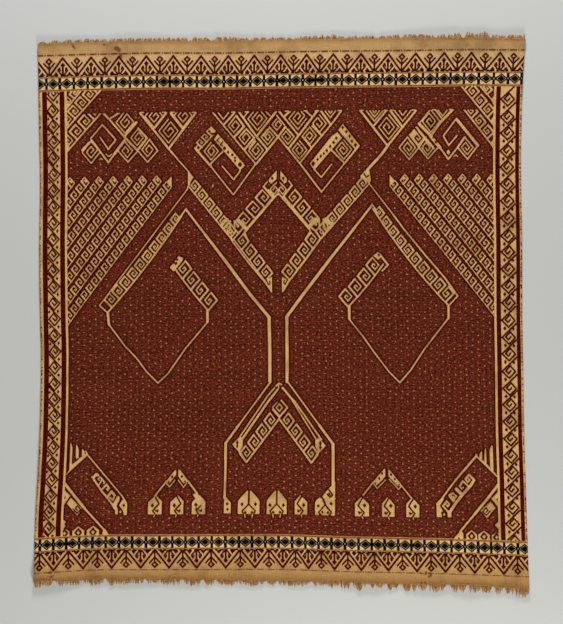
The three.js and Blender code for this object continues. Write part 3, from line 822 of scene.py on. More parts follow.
class Pattern:
    """Draws the whole cloth on a chart, from the field outwards to the ends."""

    def __init__(self, layout: Layout, chart: Chart, seed: int = 7) -> None:
        """Keeps the chart to draw on.

        Args:
            layout: the flat layout.
            chart: the chart that the pattern goes on.
            seed: start of the uneven numbers.
        """
        self.layout = layout
        self.chart = chart
        self.borders = Borders()
        self.field_high = layout.top_band - self.borders.cord_offset
        self.field_low = layout.bottom_band + self.borders.cord_offset
        self.uneven = np.random.default_rng(seed)

    def draw(self) -> None:
        """Draws every part, later ones over earlier ones."""
        edges = (self.borders.field_left, self.borders.field_right)
        self.chart.block(*edges, self.field_low, self.field_high, Yarn.FIELD)
        self.upper_lattice()
        self.top_corners()
        self.wings()
        self.centre()
        self.big_diamonds()
        self.house()
        self.small_houses()
        self.low_corners()
        self.shade_figures()
        self.dashes()
        self.seeds()
        self.dots(((-95.0, 179.0, 1.5), (181.8, 112.0, 1.0), (223.0, 216.0, 1.0)), Yarn.GROUND)
        self.sides()
        self.end_row(1, self.layout.top_band, self.borders.top_triangles)
        self.end_row(-1, self.layout.bottom_band, self.borders.bottom_triangles)
        self.lozenge_band(self.layout.top_band, self.borders.top_lozenges)
        self.lozenge_band(self.layout.bottom_band, self.low_lozenges())

    def low_lozenges(self) -> tuple[float, ...]:
        """Middles of the lozenges of the bottom band, an even pitch a little unevened."""
        pitch = self.borders.low_pitch
        places = np.arange(self.borders.low_first - 14 * pitch, self.layout.half_width - 6, pitch)
        return tuple(places + self.uneven.uniform(-0.7, 0.7, len(places)))

    def hooked_band(
        self, start: Point, end: Point, across: Point, count: float, unit: Unit,
        outer: float = 2.2, phase: float = 1.0, across_end: Point | None = None, bow: float = 0.0,
    ) -> None:
        """Draws a row of hooks on one side of a line.

        Args:
            start: start of the band's outer line.
            end: its end.
            across: step from the outer line over the whole band, at its start.
            count: number of hooks between the two ends.
            unit: the hook.
            outer: width of the outer line, or 0 for none.
            phase: where the first hook's foot is, counted in hooks from the start.
            across_end: step over the band at its end, where it differs.
            bow: how far the middle of the line curves away from the hooks.
        """
        first, last, over = np.array(start), np.array(end), np.array(across)
        step = (last - first) / count
        spread = np.array(across_end or across) - over
        away = -bow * over / np.hypot(*over)

        def on_line(share: float) -> np.ndarray:
            """A point of the outer line, by its share of the way along."""
            return first + share * (last - first) + 4 * share * (1 - share) * away

        if outer:
            shares = np.linspace(0, 1, 9) if bow else (0.0, 1.0)
            self.chart.stroke([tuple(on_line(share)) for share in shares], outer)
        for place in np.arange(phase, count + 0.05, 1.0):
            far = on_line(place / count)
            deep = over + spread * place / count
            bends = [tuple(far + depth * deep - back * step) for depth, back in unit.points]
            for a, b, width in zip(bends, bends[1:], unit.widths):
                self.chart.stroke([a, b], width)

    def shade_figures(self, across: int = 5, along: int = 1) -> None:
        """Turns the field next to the pale lines into the darker figure yarn."""
        chart = self.chart
        pale = chart.yarn == Yarn.GROUND
        near = pale.copy()
        for shift in range(1, across + 1):
            near[:, shift:] |= pale[:, :-shift]
            near[:, :-shift] |= pale[:, shift:]
        sides = near.copy()
        for shift in range(1, along + 1):
            near[shift:] |= sides[:-shift]
            near[:-shift] |= sides[shift:]
        chart.yarn[near & (chart.yarn == Yarn.FIELD)] = Yarn.FIGURE

    def seeds(self) -> None:
        """Leaves staggered specks of bare ground in the plain field.

        Rows of specks lie a spacing apart, each half a period along from the last, and a
        share of them is missing towards the top.
        """
        chart, sizes = self.chart, Seeds()
        rows = np.arange(-sizes.reach[1], sizes.reach[1], sizes.spacing)
        columns = np.arange(-sizes.reach[0], sizes.reach[0], sizes.period)
        for k, v in enumerate(rows):
            for u in columns + (k % 2) * sizes.period / 2:
                at_u = u + self.uneven.normal(0, sizes.stray[0])
                at_v = v + self.uneven.normal(0, sizes.stray[1])
                kept = sizes.kept_above if at_v > sizes.upper_from else sizes.kept_below
                i = int((at_u - chart.u[0]) / chart.fine)
                j = int((at_v - chart.v[0]) / chart.pick)
                if not 4 < i < len(chart.u) - 5 or self.uneven.random() > kept:
                    continue
                around = chart.yarn[j - 2:j + 3, i - 4:i + 5]
                if np.any(around != Yarn.FIELD):
                    continue
                half = 2 if self.uneven.random() < sizes.wide else 1
                chart.yarn[j, i - half:i + half + 1] = Yarn.GROUND
                if self.uneven.random() < sizes.doubled:
                    chart.yarn[j + 1, i - 1:i + 1] = Yarn.GROUND

    def lines(self, table: dict[float, tuple], yarn: Yarn = Yarn.GROUND) -> None:
        """Draws a table of lines."""
        for width, rows in table.items():
            for row in rows:
                self.chart.stroke(corners(row), width, yarn)

    def shapes(self, table: tuple) -> None:
        """Fills a table of outlines with bare ground."""
        for row in table:
            self.chart.shape(corners(row))

    def dots(self, table: tuple, yarn: Yarn = Yarn.FIGURE) -> None:
        """Draws a table of filled diamonds, each row u, v and half its width."""
        for u, v, half in table:
            self.chart.diamond(u, v, half, yarn)

    def dashes(self, pace: float = 6.0, share: float = 0.4, half: float = 0.5) -> None:
        """Rows of short thin dashes beside the upper row's lines, where the field is bare.

        Args:
            pace: distance from one dash to the next.
            share: how much of that a dash is.
            half: half its width, measured across.
        """
        chart = self.chart
        for start, end in DASH_ROWS:
            first, last = np.array(start, dtype=float), np.array(end, dtype=float)
            length = float(np.hypot(*(last - first)))
            for at in np.arange(0.0, length, pace):
                from_u, from_v = first + (last - first) * at / length
                to_u, to_v = first + (last - first) * min(at + pace * share, length) / length
                low_u, high_u = sorted((from_u, to_u))
                place, uu, vv = chart.window(low_u - 1, high_u + 1, *sorted((from_v, to_v)))
                slope = (to_u - from_u) / (to_v - from_v + 1e-9)
                near = np.abs(uu - from_u - (vv - from_v) * slope) < half
                bare = (chart.yarn[place] == Yarn.FIELD) | (chart.yarn[place] == Yarn.FIGURE)
                chart.yarn[place][near & bare] = Yarn.GROUND

    def top_corners(self) -> None:
        """Two short hooked bands, one inside the other, in each upper corner."""
        # Columns: start and end of the outer line, step across, first foot, hooks, line.
        bands = (
            ((-252.5, 313.5), (-299.4, 262.4), (-10.7, 10.6), 0.31, 4.45, 2.4),
            ((-279.5, 314.0), (-299.4, 290.2), (-7.2, 6.2), 0.8, 1.85, 2.2),
            ((253.5, 313.5), (298.8, 261.4), (9.6, 10.0), 0.32, 4.1, 2.4),
            ((279.5, 313.5), (298.8, 292.6), (6.6, 6.2), 0.9, 1.8, 2.2),
        )
        for start, end, across, phase, count, outer in bands:
            self.hooked_band(start, end, across, count, COIL_UNIT, outer, phase)
        for side, edge in ((-1, 300.0), (1, 299.4)):
            for v in (262.0, 290.0, 230.0):
                points = [(side * edge, v - 3), (side * (edge - 4.5), v + 5), (side * edge, v + 12)]
                self.chart.shape(points)

    def upper_lattice(self) -> None:
        """The row of coiled lozenges, V frames and panels under the seeded strip."""
        chart = self.chart
        row_top = 282.2
        for u, v, half, corner, hand, gap in LATTICE_COILS:
            chart.coil((u, v), half, corner, hand, gap)
        for u, half in LATTICE_RINGS:
            chart.ring((u, row_top - 1.0), half)
        self.hooked_band((-251.6, 282.4), (-299.4, 229.7), (-11.0, 11.6), 3.9, COIL_UNIT, 2.4, 0.72)
        self.hooked_band((256.6, 283.0), (298.8, 231.0), (9.2, 9.0), 3.7, COIL_UNIT, 2.4, 0.95)
        self.left_lattice()
        self.middle_lattice()
        self.right_lattice()
        chart.block(self.borders.field_left, self.borders.field_right, row_top, self.field_high, Yarn.FIELD)
        for u in LATTICE_CAPS:
            chart.stroke([(u - 2.4, row_top - 0.5), (u + 2.4, row_top - 0.5)], 1.8)

    def left_lattice(self) -> None:
        """Lines of the upper row's left motif and of the V frame beside it."""
        self.lines(LEFT_LATTICE_LINES)
        junction = [(-130, 199), (-127.5, 197), (-122.2, 190.5), (-127, 183), (-127.3, 179), (-130, 179)]
        self.chart.shape(junction)

    def middle_lattice(self) -> None:
        """Lines of the upper row's middle motif, and the two dotted panels that it holds."""
        self.lines(MIDDLE_LATTICE_LINES)
        self.hooked_band((-91, 254), (-113.5, 229), (-7.2, 6.8), 3.2, HOOK_UNIT, 0.0, 0.75)
        self.shapes(PANEL_OUTLINES)
        self.dots(PANEL_DOTS)
        self.lines(PANEL_MARKS, Yarn.FIGURE)

    def right_lattice(self) -> None:
        """Lines of the upper row's right V frame and right motif."""
        chart = self.chart
        self.lines(RIGHT_LATTICE_LINES)
        chart.shape([(180.3, 246.6), (187.5, 256), (193, 249.5), (186, 241.5)])
        chart.shape([(112, 190.6), (118.4, 197.5), (125, 197.8), (127, 184), (124.5, 180), (117, 185)])
        self.dots(((218.5, 237.2, 2.2), (214.5, 243.2, 1.3)))
        self.dots(((235.9, 223, 3.0),), Yarn.GROUND)
        chart.stroke([(117.3, 193.8), (120.8, 188.8), (123.8, 191)], 1.8, Yarn.FIGURE)

    def wings(self) -> None:
        """Slanting hooked bands that fill the upper part of each side of the field."""
        # Columns: side, field edge, fall of the bands, u of the first one's top end.
        for side, edge, fall, first_u in ((-1, 299.3, 1.31, 147.5), (1, 298.7, 1.235, 148.0)):
            for i in range(8):
                top = 176.5 if i == 0 else 184.5
                first = first_u + 6.0 if i == 0 else first_u + 20.3 * i
                run = edge - first
                start, end = (side * first, top), (side * edge, top - fall * run)
                self.hooked_band(start, end, (side * 6.5, 8.1), run / 7.25, HOOK_UNIT, 1.4, 0.6)
                if i:
                    for width, tip in ((2.0, ((0, 0), (6.5, 8))), (1.8, ((3.2, 4.2), (7.8, 2.8)))):
                        self.chart.stroke([(side * (first + a), top + b) for a, b in tip], width)
            spike = ((5.4, 176), (5.4, 192), (12.4, 184.5), (9, 180))
            self.chart.shape([(side * (first_u + a), v) for a, v in spike])

    def centre(self) -> None:
        """The leaf on the middle line: two tips, four hooked arms and the trunk's arms."""
        chart = self.chart
        # Columns: start and end of the outer line, step across, hooks, line, first foot.
        bands = (
            ((-8.8, 162.7), (-49.0, 116.2), (-13.0, 13.6), 3.0, 2.4, 1.0),
            ((4.7, 161.9), (40.6, 118.3), (12.3, 13.9), 3.0, 2.4, 1.0),
            ((-66.0, 102.9), (-22.2, 43.0), (10.3, 11.8), 4.0, 2.0, 1.0),
            ((56.0, 104.0), (12.2, 44.6), (-10.3, 12.0), 4.0, 2.0, 1.0),
            ((-128.5, 177.0), (-68.0, 102.0), (8.2, 9.6), 6.0, 2.2, 0.75),
            ((124.5, 180.0), (56.6, 103.0), (-7.8, 10.4), 6.3, 2.2, 0.85),
        )
        for start, end, across, count, outer, phase in bands:
            self.hooked_band(start, end, across, count, COIL_UNIT, outer, phase)
        self.shapes(LEAF_OUTLINES)
        self.dots(((-11.7, 187.8, 2.1), (3.9, 187.8, 2.1)))
        for at, hand in (((-9.4, 172.0), 1), ((2.8, 172.0), -1)):
            chart.coil(at, 5.4, Corner.TOP, hand, 2.2)
        self.lines(LEAF_LINES)
        for middle, v in ((-67.8, 111.0), (57.2, 112.8)):
            chart.diamond(middle, v, 3.4)
            chart.diamond(middle, v, 1.3, Yarn.FIGURE)
            for side in (-1, 1):
                tine = ((3.1, 18.0), (3.1, 6.0), (7.7, 1.4))
                chart.stroke([(middle + side * a, v + b) for a, b in tine], 2.4)
                chart.stroke([(middle + side * 3.5, v + 17), (middle + side * 7.8, v + 11)], 2.4)
                chart.diamond(middle + side * 8.0, v + 10.4, 2.4)
        self.lines(LEAF_MARKS, Yarn.FIGURE)
        self.trunk()

    def trunk(self) -> None:
        """The two long arms, the trunk that they run down into, and the lines over them."""
        self.lines(TRUNK_LINES)

    def big_diamonds(self) -> None:
        """Two large pointed frames with coiled bands over their upper sides."""
        # Columns: start and end of the outer line, steps across at both, hooks, line, bow.
        bands = (
            ((-138.5, 136.5), (-243.5, 0.8), (-6.4, 7.2), (-11.2, 11.2), 10.6, 2.3, 3.6),
            ((129.5, 145.0), (234.8, 10.4), (6.4, 7.2), (12.2, 12.6), 10.4, 2.3, 4.6),
            ((-149.2, 63.0), (-102.4, 2.8), (12.6, 14.6), (12.6, 14.6), 4.0, 2.3, 1.2),
            ((143.5, 68.0), (93.8, 8.0), (-12.4, 14.4), (-12.4, 14.4), 4.0, 2.3, 1.8),
        )
        for start, end, across, across_end, count, outer, bow in bands:
            self.hooked_band(start, end, across, count, COIL_UNIT, outer, 1.0, across_end, bow)
        self.lines(DIAMOND_LINES)
        self.shapes(DIAMOND_OUTLINES)
        self.dots(((-145.4, 74.4, 1.8), (137.4, 80.4, 1.9)))

    def house(self) -> None:
        """The house under the trunk: nested gables, hooked rafters, posts and feet."""
        chart = self.chart
        for side in (-1, 1):
            start, end = (-4.0, -150.0), (-4.0 + side * 45.0, -211.0)
            self.hooked_band(start, end, (side * 9.5, 12.5), 4.0, COIL_UNIT, 2.6)
        self.lines(HOUSE_LINES)
        chart.ring((-3.8, -134.4), 4.2, 1.9)
        self.shapes(HOUSE_OUTLINES)
        self.lines(HOUSE_MARKS, Yarn.FIGURE)
        self.dots(HOUSE_DOTS)
        self.double_leaf(-44.6, 14.7, -270.2)
        self.double_leaf(-6.1, 13.8, -271.3)
        self.hook_house(27.4, 8.7, 1, -270.4)

    def double_leaf(self, middle: float, half: float, dot: float) -> None:
        """A foot of two leaves side by side over a small gable, with a dot in each leaf."""
        chart = self.chart
        outline = ((-half, -284), (-half, -265.5), (4.6 - half, -259), (-2.6, -250.8))
        left = [(middle + u, v) for u, v in outline]
        chart.shape(left + [(2 * middle - u, v) for u, v in reversed(left)])
        chart.stroke([(middle, -250), (middle, -270)], 2.4, Yarn.FIGURE)
        for side in (-1, 1):
            leg = [(middle, -270), (middle + side * 9.2, -279.8), (middle + side * 7.4, -283)]
            chart.stroke(leg, 2.0, Yarn.FIGURE)
            chart.diamond(middle + side * 4.7, -281.6, 2.1, Yarn.FIGURE)
            chart.diamond(middle + side * 9.2, dot, 2.4, Yarn.FIGURE)
            chart.stroke([(middle + side * 5.2, -285), (middle + side * 4.6, -288)], 1.6)

    def hook_house(self, middle: float, half: float, side: int, dot: float) -> None:
        """A small pointed foot with a bent dark line in it, and a dot on the given side."""
        chart = self.chart

        def at(u: float, v: float) -> Point:
            """A point given from the foot's middle towards its dotted side."""
            return middle + side * u, v

        outline = (
            (-half, -283.5), (-half, -265.5), (-1.2, -256.9), (0.6, -258.6), (3.1, -260.4), (half, -266.8),
            (half, -283.5),
        )
        chart.shape([at(*point) for point in outline])
        bent = ((0.8, -258), (-5.5, -269.0), (2.9, -278.6), (-0.6, -284))
        chart.stroke([at(*point) for point in bent], 2.1, Yarn.FIGURE)
        chart.diamond(*at(3.6, dot), 2.6, Yarn.FIGURE)
        chart.stroke([at(-4.6, -277.6), at(-3.0, -279.6), at(-0.6, -278.2)], 1.8, Yarn.FIGURE)
        chart.diamond(*at(-3.4, -279.4), 1.9, Yarn.FIGURE)
        chart.stroke([at(0.4, -284.6), at(1.2, -287)], 1.5)

    def small_houses(self) -> None:
        """A small gable on three feet on each side of the house."""
        for middle, half, side, dot in (
            (-173.7, 9.3, -1, -271.4), (-143.6, 9.1, -1, -271.3), (-113.7, 9.1, -1, -270.6),
            (111.4, 9.6, 1, -268.8), (147.5, 8.4, 1, -268.5), (181.2, 9.1, 1, -268.8),
        ):
            self.hook_house(middle, half, side, dot)
        self.shapes(GABLE_OUTLINES)
        self.lines(GABLE_LINES)
        self.dots(GABLE_DOTS)

    def low_corners(self) -> None:
        """The spikes, sloping frames, hooked bars and feet in both lower corners."""
        chart = self.chart
        self.shapes(SPIKE_OUTLINES)
        self.lines(CORNER_LINES)
        self.lines(HOOKED_BAR_LINES)
        self.shapes(CORNER_OUTLINES)
        self.dots((
            (-216.7, -271.4, 2.1), (-299.2, -258, 2.0), (298.6, -256.5, 2.0), (243.8, -312.4, 2.2),
        ))
        self.dots(((-221, -280.4, 1.8), (224.4, -279.2, 1.8)), Yarn.GROUND)
        for u, side in ((-281.6, -1), (283.4, 1)):
            coil = ((-4.6, 0.4), (1.0, -6.0), (5.8, -1.0), (1.2, 4.6), (-1.4, 1.2), (1.4, -1.6))
            middle = -274.8 if side < 0 else -272.6
            chart.stroke([(u - side * a, middle + b) for a, b in coil], 1.8, Yarn.FIGURE)
        # Columns: middle, half width, top, middle of the dark ring.
        for u, half, top, ring in (
            (-297.0, 6.8, -301.5, -308.2), (-278.2, 8.0, -299.2, -308.2), (-258.0, 8.3, -299.2, -308.4),
            (261.6, 7.6, -299.6, -308.2), (278.6, 7.8, -299.6, -308.2), (296.0, 6.6, -301.5, -308.4),
        ):
            chart.shape([
                (u - half, -315), (u - half, -305.5), (u, top), (u + half, -305.5), (u + half, -315),
            ])
            chart.ring((u, ring), 4.0, 2.5, Yarn.FIGURE)

    def sides(self) -> None:
        """The two side borders: stripes, and dark coils on bare ground between them."""
        chart, borders = self.chart, self.borders
        half_width, low, high = self.layout.half_width, self.field_low, self.field_high
        chart.block(-half_width, borders.field_left, low, high, Yarn.GROUND)
        chart.block(borders.field_right, half_width, low, high, Yarn.GROUND)
        for start, end in borders.side_stripes:
            chart.block(start, end, low, high, Yarn.FIGURE)
        # Columns: side, middle, top coil, pitch, stretch across, width of the line.
        for side, middle, first, pitch, wide, line in (
            (-1, -318.8, 310.4, 22.6, 1.0, 2.1), (1, 319.2, 296.0, 23.4, 1.18, 2.4),
        ):
            for i in range(borders.most_coils):
                v = first - i * pitch + self.uneven.uniform(-0.8, 0.8)
                if v < low - 8:
                    break
                u = middle + self.uneven.uniform(-0.5, 0.5)
                chart.stroke([(u - side * wide * a, v + b) for a, b in SIDE_COIL], line, Yarn.FIGURE)
                chart.diamond(u - side * 5.6, v - 11.0, line, Yarn.FIGURE)
                if i % 4:
                    chart.diamond(u + side * 6.2, v - 11.4, line - 0.2, Yarn.FIGURE)
        # The extra weft turns back at the selvedges and shows there on some picks.
        for side in (-1, 1):
            for v in chart.v[(chart.v > low) & (chart.v < high)]:
                if self.uneven.random() < borders.nick_share:
                    deep = self.uneven.uniform(*borders.nick_depth)
                    ends = sorted((side * half_width, side * half_width - side * deep))
                    yarn = Yarn.FIGURE if self.uneven.random() < 0.5 else Yarn.CORD
                    chart.block(*ends, v - borders.nick_half, v + borders.nick_half, yarn)

    def lozenge_band(self, middle: float, places: tuple[float, ...]) -> None:
        """A row of indigo lozenges between two cords.

        Args:
            middle: v of the middle of the band.
            places: middle of each lozenge.
        """
        chart, borders, sizes = self.chart, self.borders, Lozenge()
        edges = (-self.layout.half_width, self.layout.half_width)
        reach = borders.dotted_offset
        chart.block(*edges, middle - reach, middle + reach, Yarn.GROUND)
        at, uu, vv = chart.window(*edges, middle - sizes.reach, middle + sizes.reach)
        centres = np.array((places[0] - sizes.extra_steps[0], *places, places[-1] + sizes.extra_steps[1]))
        between = (centres[1:] + centres[:-1]) / 2
        nearest = centres[np.abs(uu[..., None] - centres).argmin(axis=2)]
        across, up = np.abs(uu - nearest), np.abs(vv - middle)
        radius = across / sizes.half_width + up / sizes.half_height
        dark = (radius <= 1) & ~((radius > sizes.ring_inside) & (radius < sizes.ring_outside))
        edge = np.abs(uu[..., None] - between).min(axis=2)
        bars = (edge < sizes.bar_half) & (up > sizes.bar_break)
        sloping = np.abs(edge * sizes.link_slope - up) < sizes.link_half
        links = (edge < sizes.link_to) & sloping & (edge > sizes.link_from)
        chart.yarn[at][dark | bars | links] = Yarn.INDIGO
        half = borders.cord_width / 2
        for v in (middle - borders.cord_offset, middle + borders.cord_offset):
            chart.block(*edges, v - half, v + half, Yarn.CORD)
        outside = middle + (reach if middle > 0 else -reach)
        at, uu, _ = chart.window(*edges, outside - borders.dotted_half, outside + borders.dotted_half)
        chart.yarn[at][np.sin(uu * 0.9) + 0.6 * np.sin(uu * 0.37) > -0.5] = Yarn.INDIGO

    def end_row(self, end: int, band: float, places: tuple[float, ...]) -> None:
        """Triangles with a small tree inside, and plants between them.

        Args:
            end: 1 at the top, -1 at the bottom.
            band: v of the middle of the lozenge band that they stand on.
            places: middle of each triangle.
        """
        foot, peak, side_width = 10.6, 35.8, 2.8

        def grow(u: float, figure: Growth) -> None:
            """Draws a small figure at a place across."""
            for width, points in figure.lines:
                stroke = [(u + across, band + end * out) for across, out in points]
                self.chart.stroke(stroke, width, Yarn.FIGURE)
            for across, out, half in figure.dots:
                self.chart.diamond(u + across, band + end * out, half, Yarn.FIGURE)

        pitch = (places[-1] - places[0]) / (len(places) - 1)
        spots = [places[0] - pitch, *places, places[-1] + pitch]
        for a, b in zip(spots, spots[1:]):
            plant = (a + b) / 2
            rim = [(a, band + end * peak), (plant, band + end * foot), (b, band + end * peak)]
            self.chart.stroke(rim, side_width, Yarn.FIGURE)
            grow(plant, PLANT)
        for u in spots:
            grow(u, TREE)
        nearer = self.borders.low_line_nearer if end < 0 else 0.0
        line_v = band + end * (self.layout.end_line_offset - nearer)
        half = self.borders.end_line_width / 2
        half_width = self.layout.half_width
        place, uu, _ = self.chart.window(-half_width, half_width, line_v - half, line_v + half)
        self.chart.yarn[place][np.sin(uu * 1.7) + 0.8 * np.sin(uu * 0.43 + 1) > -0.7] = Yarn.END_LINE


class Shader:
    """A short way to add and join the nodes of one node tree."""

    def __init__(self, tree: bpy.types.NodeTree) -> None:
        """Keeps the tree that nodes go into."""
        self.tree = tree

    def add(self, kind: str, **values: object) -> bpy.types.Node:
        """Adds a node and sets its properties, or its inputs where it has no such property.

        Args:
            kind: Blender's name of the node.
            values: properties by name, or inputs by name with underscores for spaces.

        Returns:
            The node.
        """
        node = self.tree.nodes.new(kind)
        for name, value in values.items():
            if hasattr(node, name):
                setattr(node, name, value)
            else:
                node.inputs[name.replace("_", " ")].default_value = value
        return node

    def join(self, source: bpy.types.NodeSocket, target: bpy.types.NodeSocket) -> None:
        """Links one socket to another."""
        self.tree.links.new(source, target)

    def math(self, operation: str, *terms: object, clamp: bool = False) -> bpy.types.NodeSocket:
        """The result of a maths step on values or sockets, kept from 0 to 1 where clamped."""
        node = self.add("ShaderNodeMath", operation=operation, use_clamp=clamp)
        for socket, value in zip(node.inputs, terms):
            if isinstance(value, bpy.types.NodeSocket):
                self.join(value, socket)
            else:
                socket.default_value = value
        return node.outputs[0]

    def mix(self, share: object, a: object, b: object, blend: str = "MIX") -> bpy.types.NodeSocket:
        """A mix of two colours, each a socket or a triple, by a share that is a socket or number."""
        node = self.add("ShaderNodeMix", data_type="RGBA", blend_type=blend)
        for socket, value in zip((node.inputs[0], node.inputs[6], node.inputs[7]), (share, a, b)):
            if isinstance(value, bpy.types.NodeSocket):
                self.join(value, socket)
            elif isinstance(value, tuple):
                socket.default_value = (*value, 1.0)
            else:
                socket.default_value = value
        return node.outputs[2]

    def ramp(self, share: bpy.types.NodeSocket, stops: tuple) -> bpy.types.NodeSocket:
        """A colour read from a table of (position, colour)."""
        node = self.add("ShaderNodeValToRGB")
        points = node.color_ramp.elements
        while len(points) < len(stops):
            points.new(0.5)
        for point, (position, colour) in zip(points, stops):
            point.position = position
            point.color = (*colour, 1.0)
        self.join(share, node.inputs[0])
        return node.outputs[0]


def linear(red: float, green: float, blue: float) -> tuple[float, float, float]:
    """The light values of a colour that is given as it shows on a screen, from 0 to 255."""
    shown = np.array((red, green, blue)) / 255
    values = np.where(shown <= 0.04045, shown / 12.92, ((shown + 0.055) / 1.055) ** 2.4)
    return tuple(float(x) for x in values)


def group(name: str, inputs: tuple, outputs: tuple) -> tuple[bpy.types.NodeTree, Shader, dict, dict]:
    """Starts a node group.

    Args:
        name: the group's name.
        inputs: (name, socket kind, value) of each input.
        outputs: (name, socket kind) of each output.

    Returns:
        The group, its shader helper, its input sockets and its output sockets by name.
    """
    tree = bpy.data.node_groups.new(name, "ShaderNodeTree")
    for label, kind, value in inputs:
        socket = tree.interface.new_socket(label, in_out="INPUT", socket_type=kind)
        socket.default_value = value
    for label, kind in outputs:
        tree.interface.new_socket(label, in_out="OUTPUT", socket_type=kind)
    shader = Shader(tree)
    start = shader.add("NodeGroupInput")
    end = shader.add("NodeGroupOutput")
    sources = {label: start.outputs[label] for label, _, _ in inputs}
    targets = {label: end.inputs[label] for label, _ in outputs}
    return tree, shader, sources, targets


def threads_group() -> bpy.types.NodeTree:
    """A plain weave: threads along and across that pass over and under each other.

    Each thread is the rounded top of a sine. Which of the two is on top swaps with the
    sign of the product of the two sines, half a thread on.
    """
    tree, shader, given, out = group(
        "plain_weave",
        (
            ("Across", "NodeSocketFloat", 0.0),
            ("Along", "NodeSocketFloat", 0.0),
            ("Pitch", "NodeSocketFloat", 0.9),
        ),
        (("Height", "NodeSocketFloat"), ("Warp on top", "NodeSocketFloat")),
    )
    turns = [
        shader.math("MULTIPLY", shader.math("DIVIDE", given[name], given["Pitch"]), np.pi)
        for name in ("Across", "Along")
    ]
    rounds = [shader.math("ABSOLUTE", shader.math("SINE", turn)) for turn in turns]
    swaps = [shader.math("SINE", shader.math("ADD", turn, np.pi / 2)) for turn in turns]
    both = shader.math("MULTIPLY", *swaps)
    over = shader.math("MULTIPLY_ADD", both, 3.0, 0.5, clamp=True)
    warp = shader.math("MULTIPLY", rounds[0], over)
    weft = shader.math("MULTIPLY", rounds[1], shader.math("SUBTRACT", 1.0, over))
    shader.join(shader.math("ADD", warp, weft), out["Height"])
    shader.join(over, out["Warp on top"])
    return tree


def streaks_group() -> bpy.types.NodeTree:
    """Uneven handspun thread: noise drawn out along the threads, from 0 to 1."""
    tree, shader, given, out = group(
        "thread_streaks",
        (
            ("Across", "NodeSocketFloat", 0.0),
            ("Along", "NodeSocketFloat", 0.0),
            ("Width", "NodeSocketFloat", 1.0),
            ("Length", "NodeSocketFloat", 20.0),
            ("Offset", "NodeSocketFloat", 0.0),
        ),
        (("Tone", "NodeSocketFloat"),),
    )
    place = shader.add("ShaderNodeCombineXYZ")
    shader.join(shader.math("DIVIDE", given["Across"], given["Width"]), place.inputs[0])
    shader.join(shader.math("DIVIDE", given["Along"], given["Length"]), place.inputs[1])
    shader.join(given["Offset"], place.inputs[2])
    noise = shader.add("ShaderNodeTexNoise", Scale=1.0, Detail=2.0, Roughness=0.55)
    shader.join(place.outputs[0], noise.inputs["Vector"])
    shader.join(shader.math("MULTIPLY_ADD", noise.outputs[0], 2.4, -0.7, clamp=True), out["Tone"])
    return tree


def streaked(
    shader: Shader, streaks: bpy.types.NodeTree, across: bpy.types.NodeSocket,
    along: bpy.types.NodeSocket, width: float, length: float, offset: float = 0.0,
) -> bpy.types.NodeSocket:
    """The tone of uneven threads of a width and a streak length, both in millimetres."""
    node = shader.add("ShaderNodeGroup", node_tree=streaks)
    for name, value in (("Width", width), ("Length", length), ("Offset", offset)):
        node.inputs[name].default_value = value
    shader.join(across, node.inputs["Across"])
    shader.join(along, node.inputs["Along"])
    return node.outputs[0]


def place_nodes(shader: Shader) -> tuple[bpy.types.NodeSocket, bpy.types.NodeSocket]:
    """The u and v of the flat layout, in millimetres, from a piece's own UV map."""
    uv = shader.add("ShaderNodeUVMap", uv_map="layout")
    apart = shader.add("ShaderNodeSeparateXYZ")
    shader.join(uv.outputs[0], apart.inputs[0])
    return tuple(shader.math("MULTIPLY", apart.outputs[i], 1000.0) for i in (0, 1))


@dataclass(frozen=True)
class YarnFinish:
    """A float of one dyed yarn: darker and brighter stretches along it, and dull fibres.

    Its colours are given as they show on a screen, and its lengths in millimetres.
    """

    name: str
    dark: tuple[int, int, int]
    middle: tuple[int, int, int]
    bright: tuple[int, int, int]
    streak_length: float = 2.6
    tone_weight: float = 0.3
    streak_width: float = 1.5
    fibre_width: float = 0.25
    fibre_length: float = 2.2
    roughness: float = 0.95
    specular: float = 0.04

    def material(self, streaks: bpy.types.NodeTree) -> bpy.types.Material:
        """Builds the material.

        Args:
            streaks: the node group of uneven thread.

        Returns:
            The material.
        """
        material = bpy.data.materials.new(self.name)
        material.use_nodes = True
        shader = Shader(material.node_tree)
        surface = material.node_tree.nodes["Principled BSDF"]
        surface.inputs["Roughness"].default_value = self.roughness
        surface.inputs["Specular IOR Level"].default_value = self.specular
        across, along = place_nodes(shader)
        tone = shader.add("ShaderNodeAttribute", attribute_name="tone")
        slow = streaked(shader, streaks, along, across, self.streak_width, self.streak_length)
        fibre = streaked(shader, streaks, along, across, self.fibre_width, self.fibre_length, 7.0)
        own = shader.math("MULTIPLY", tone.outputs["Fac"], self.tone_weight)
        share = shader.math("ADD", own, shader.math("MULTIPLY", slow, 1 - self.tone_weight))
        tones = ((0.12, self.dark), (0.5, self.middle), (0.9, self.bright))
        colour = shader.ramp(share, tuple((at, linear(*shade)) for at, shade in tones))
        colour = shader.mix(1.0, colour, shader.math("MULTIPLY_ADD", fibre, 0.4, 0.8), "MULTIPLY")
        shader.join(colour, surface.inputs["Base Color"])
        bump = shader.add("ShaderNodeBump", Strength=0.5, Distance=0.0002)
        shader.join(fibre, bump.inputs["Height"])
        shader.join(bump.outputs[0], surface.inputs["Normal"])
        return material


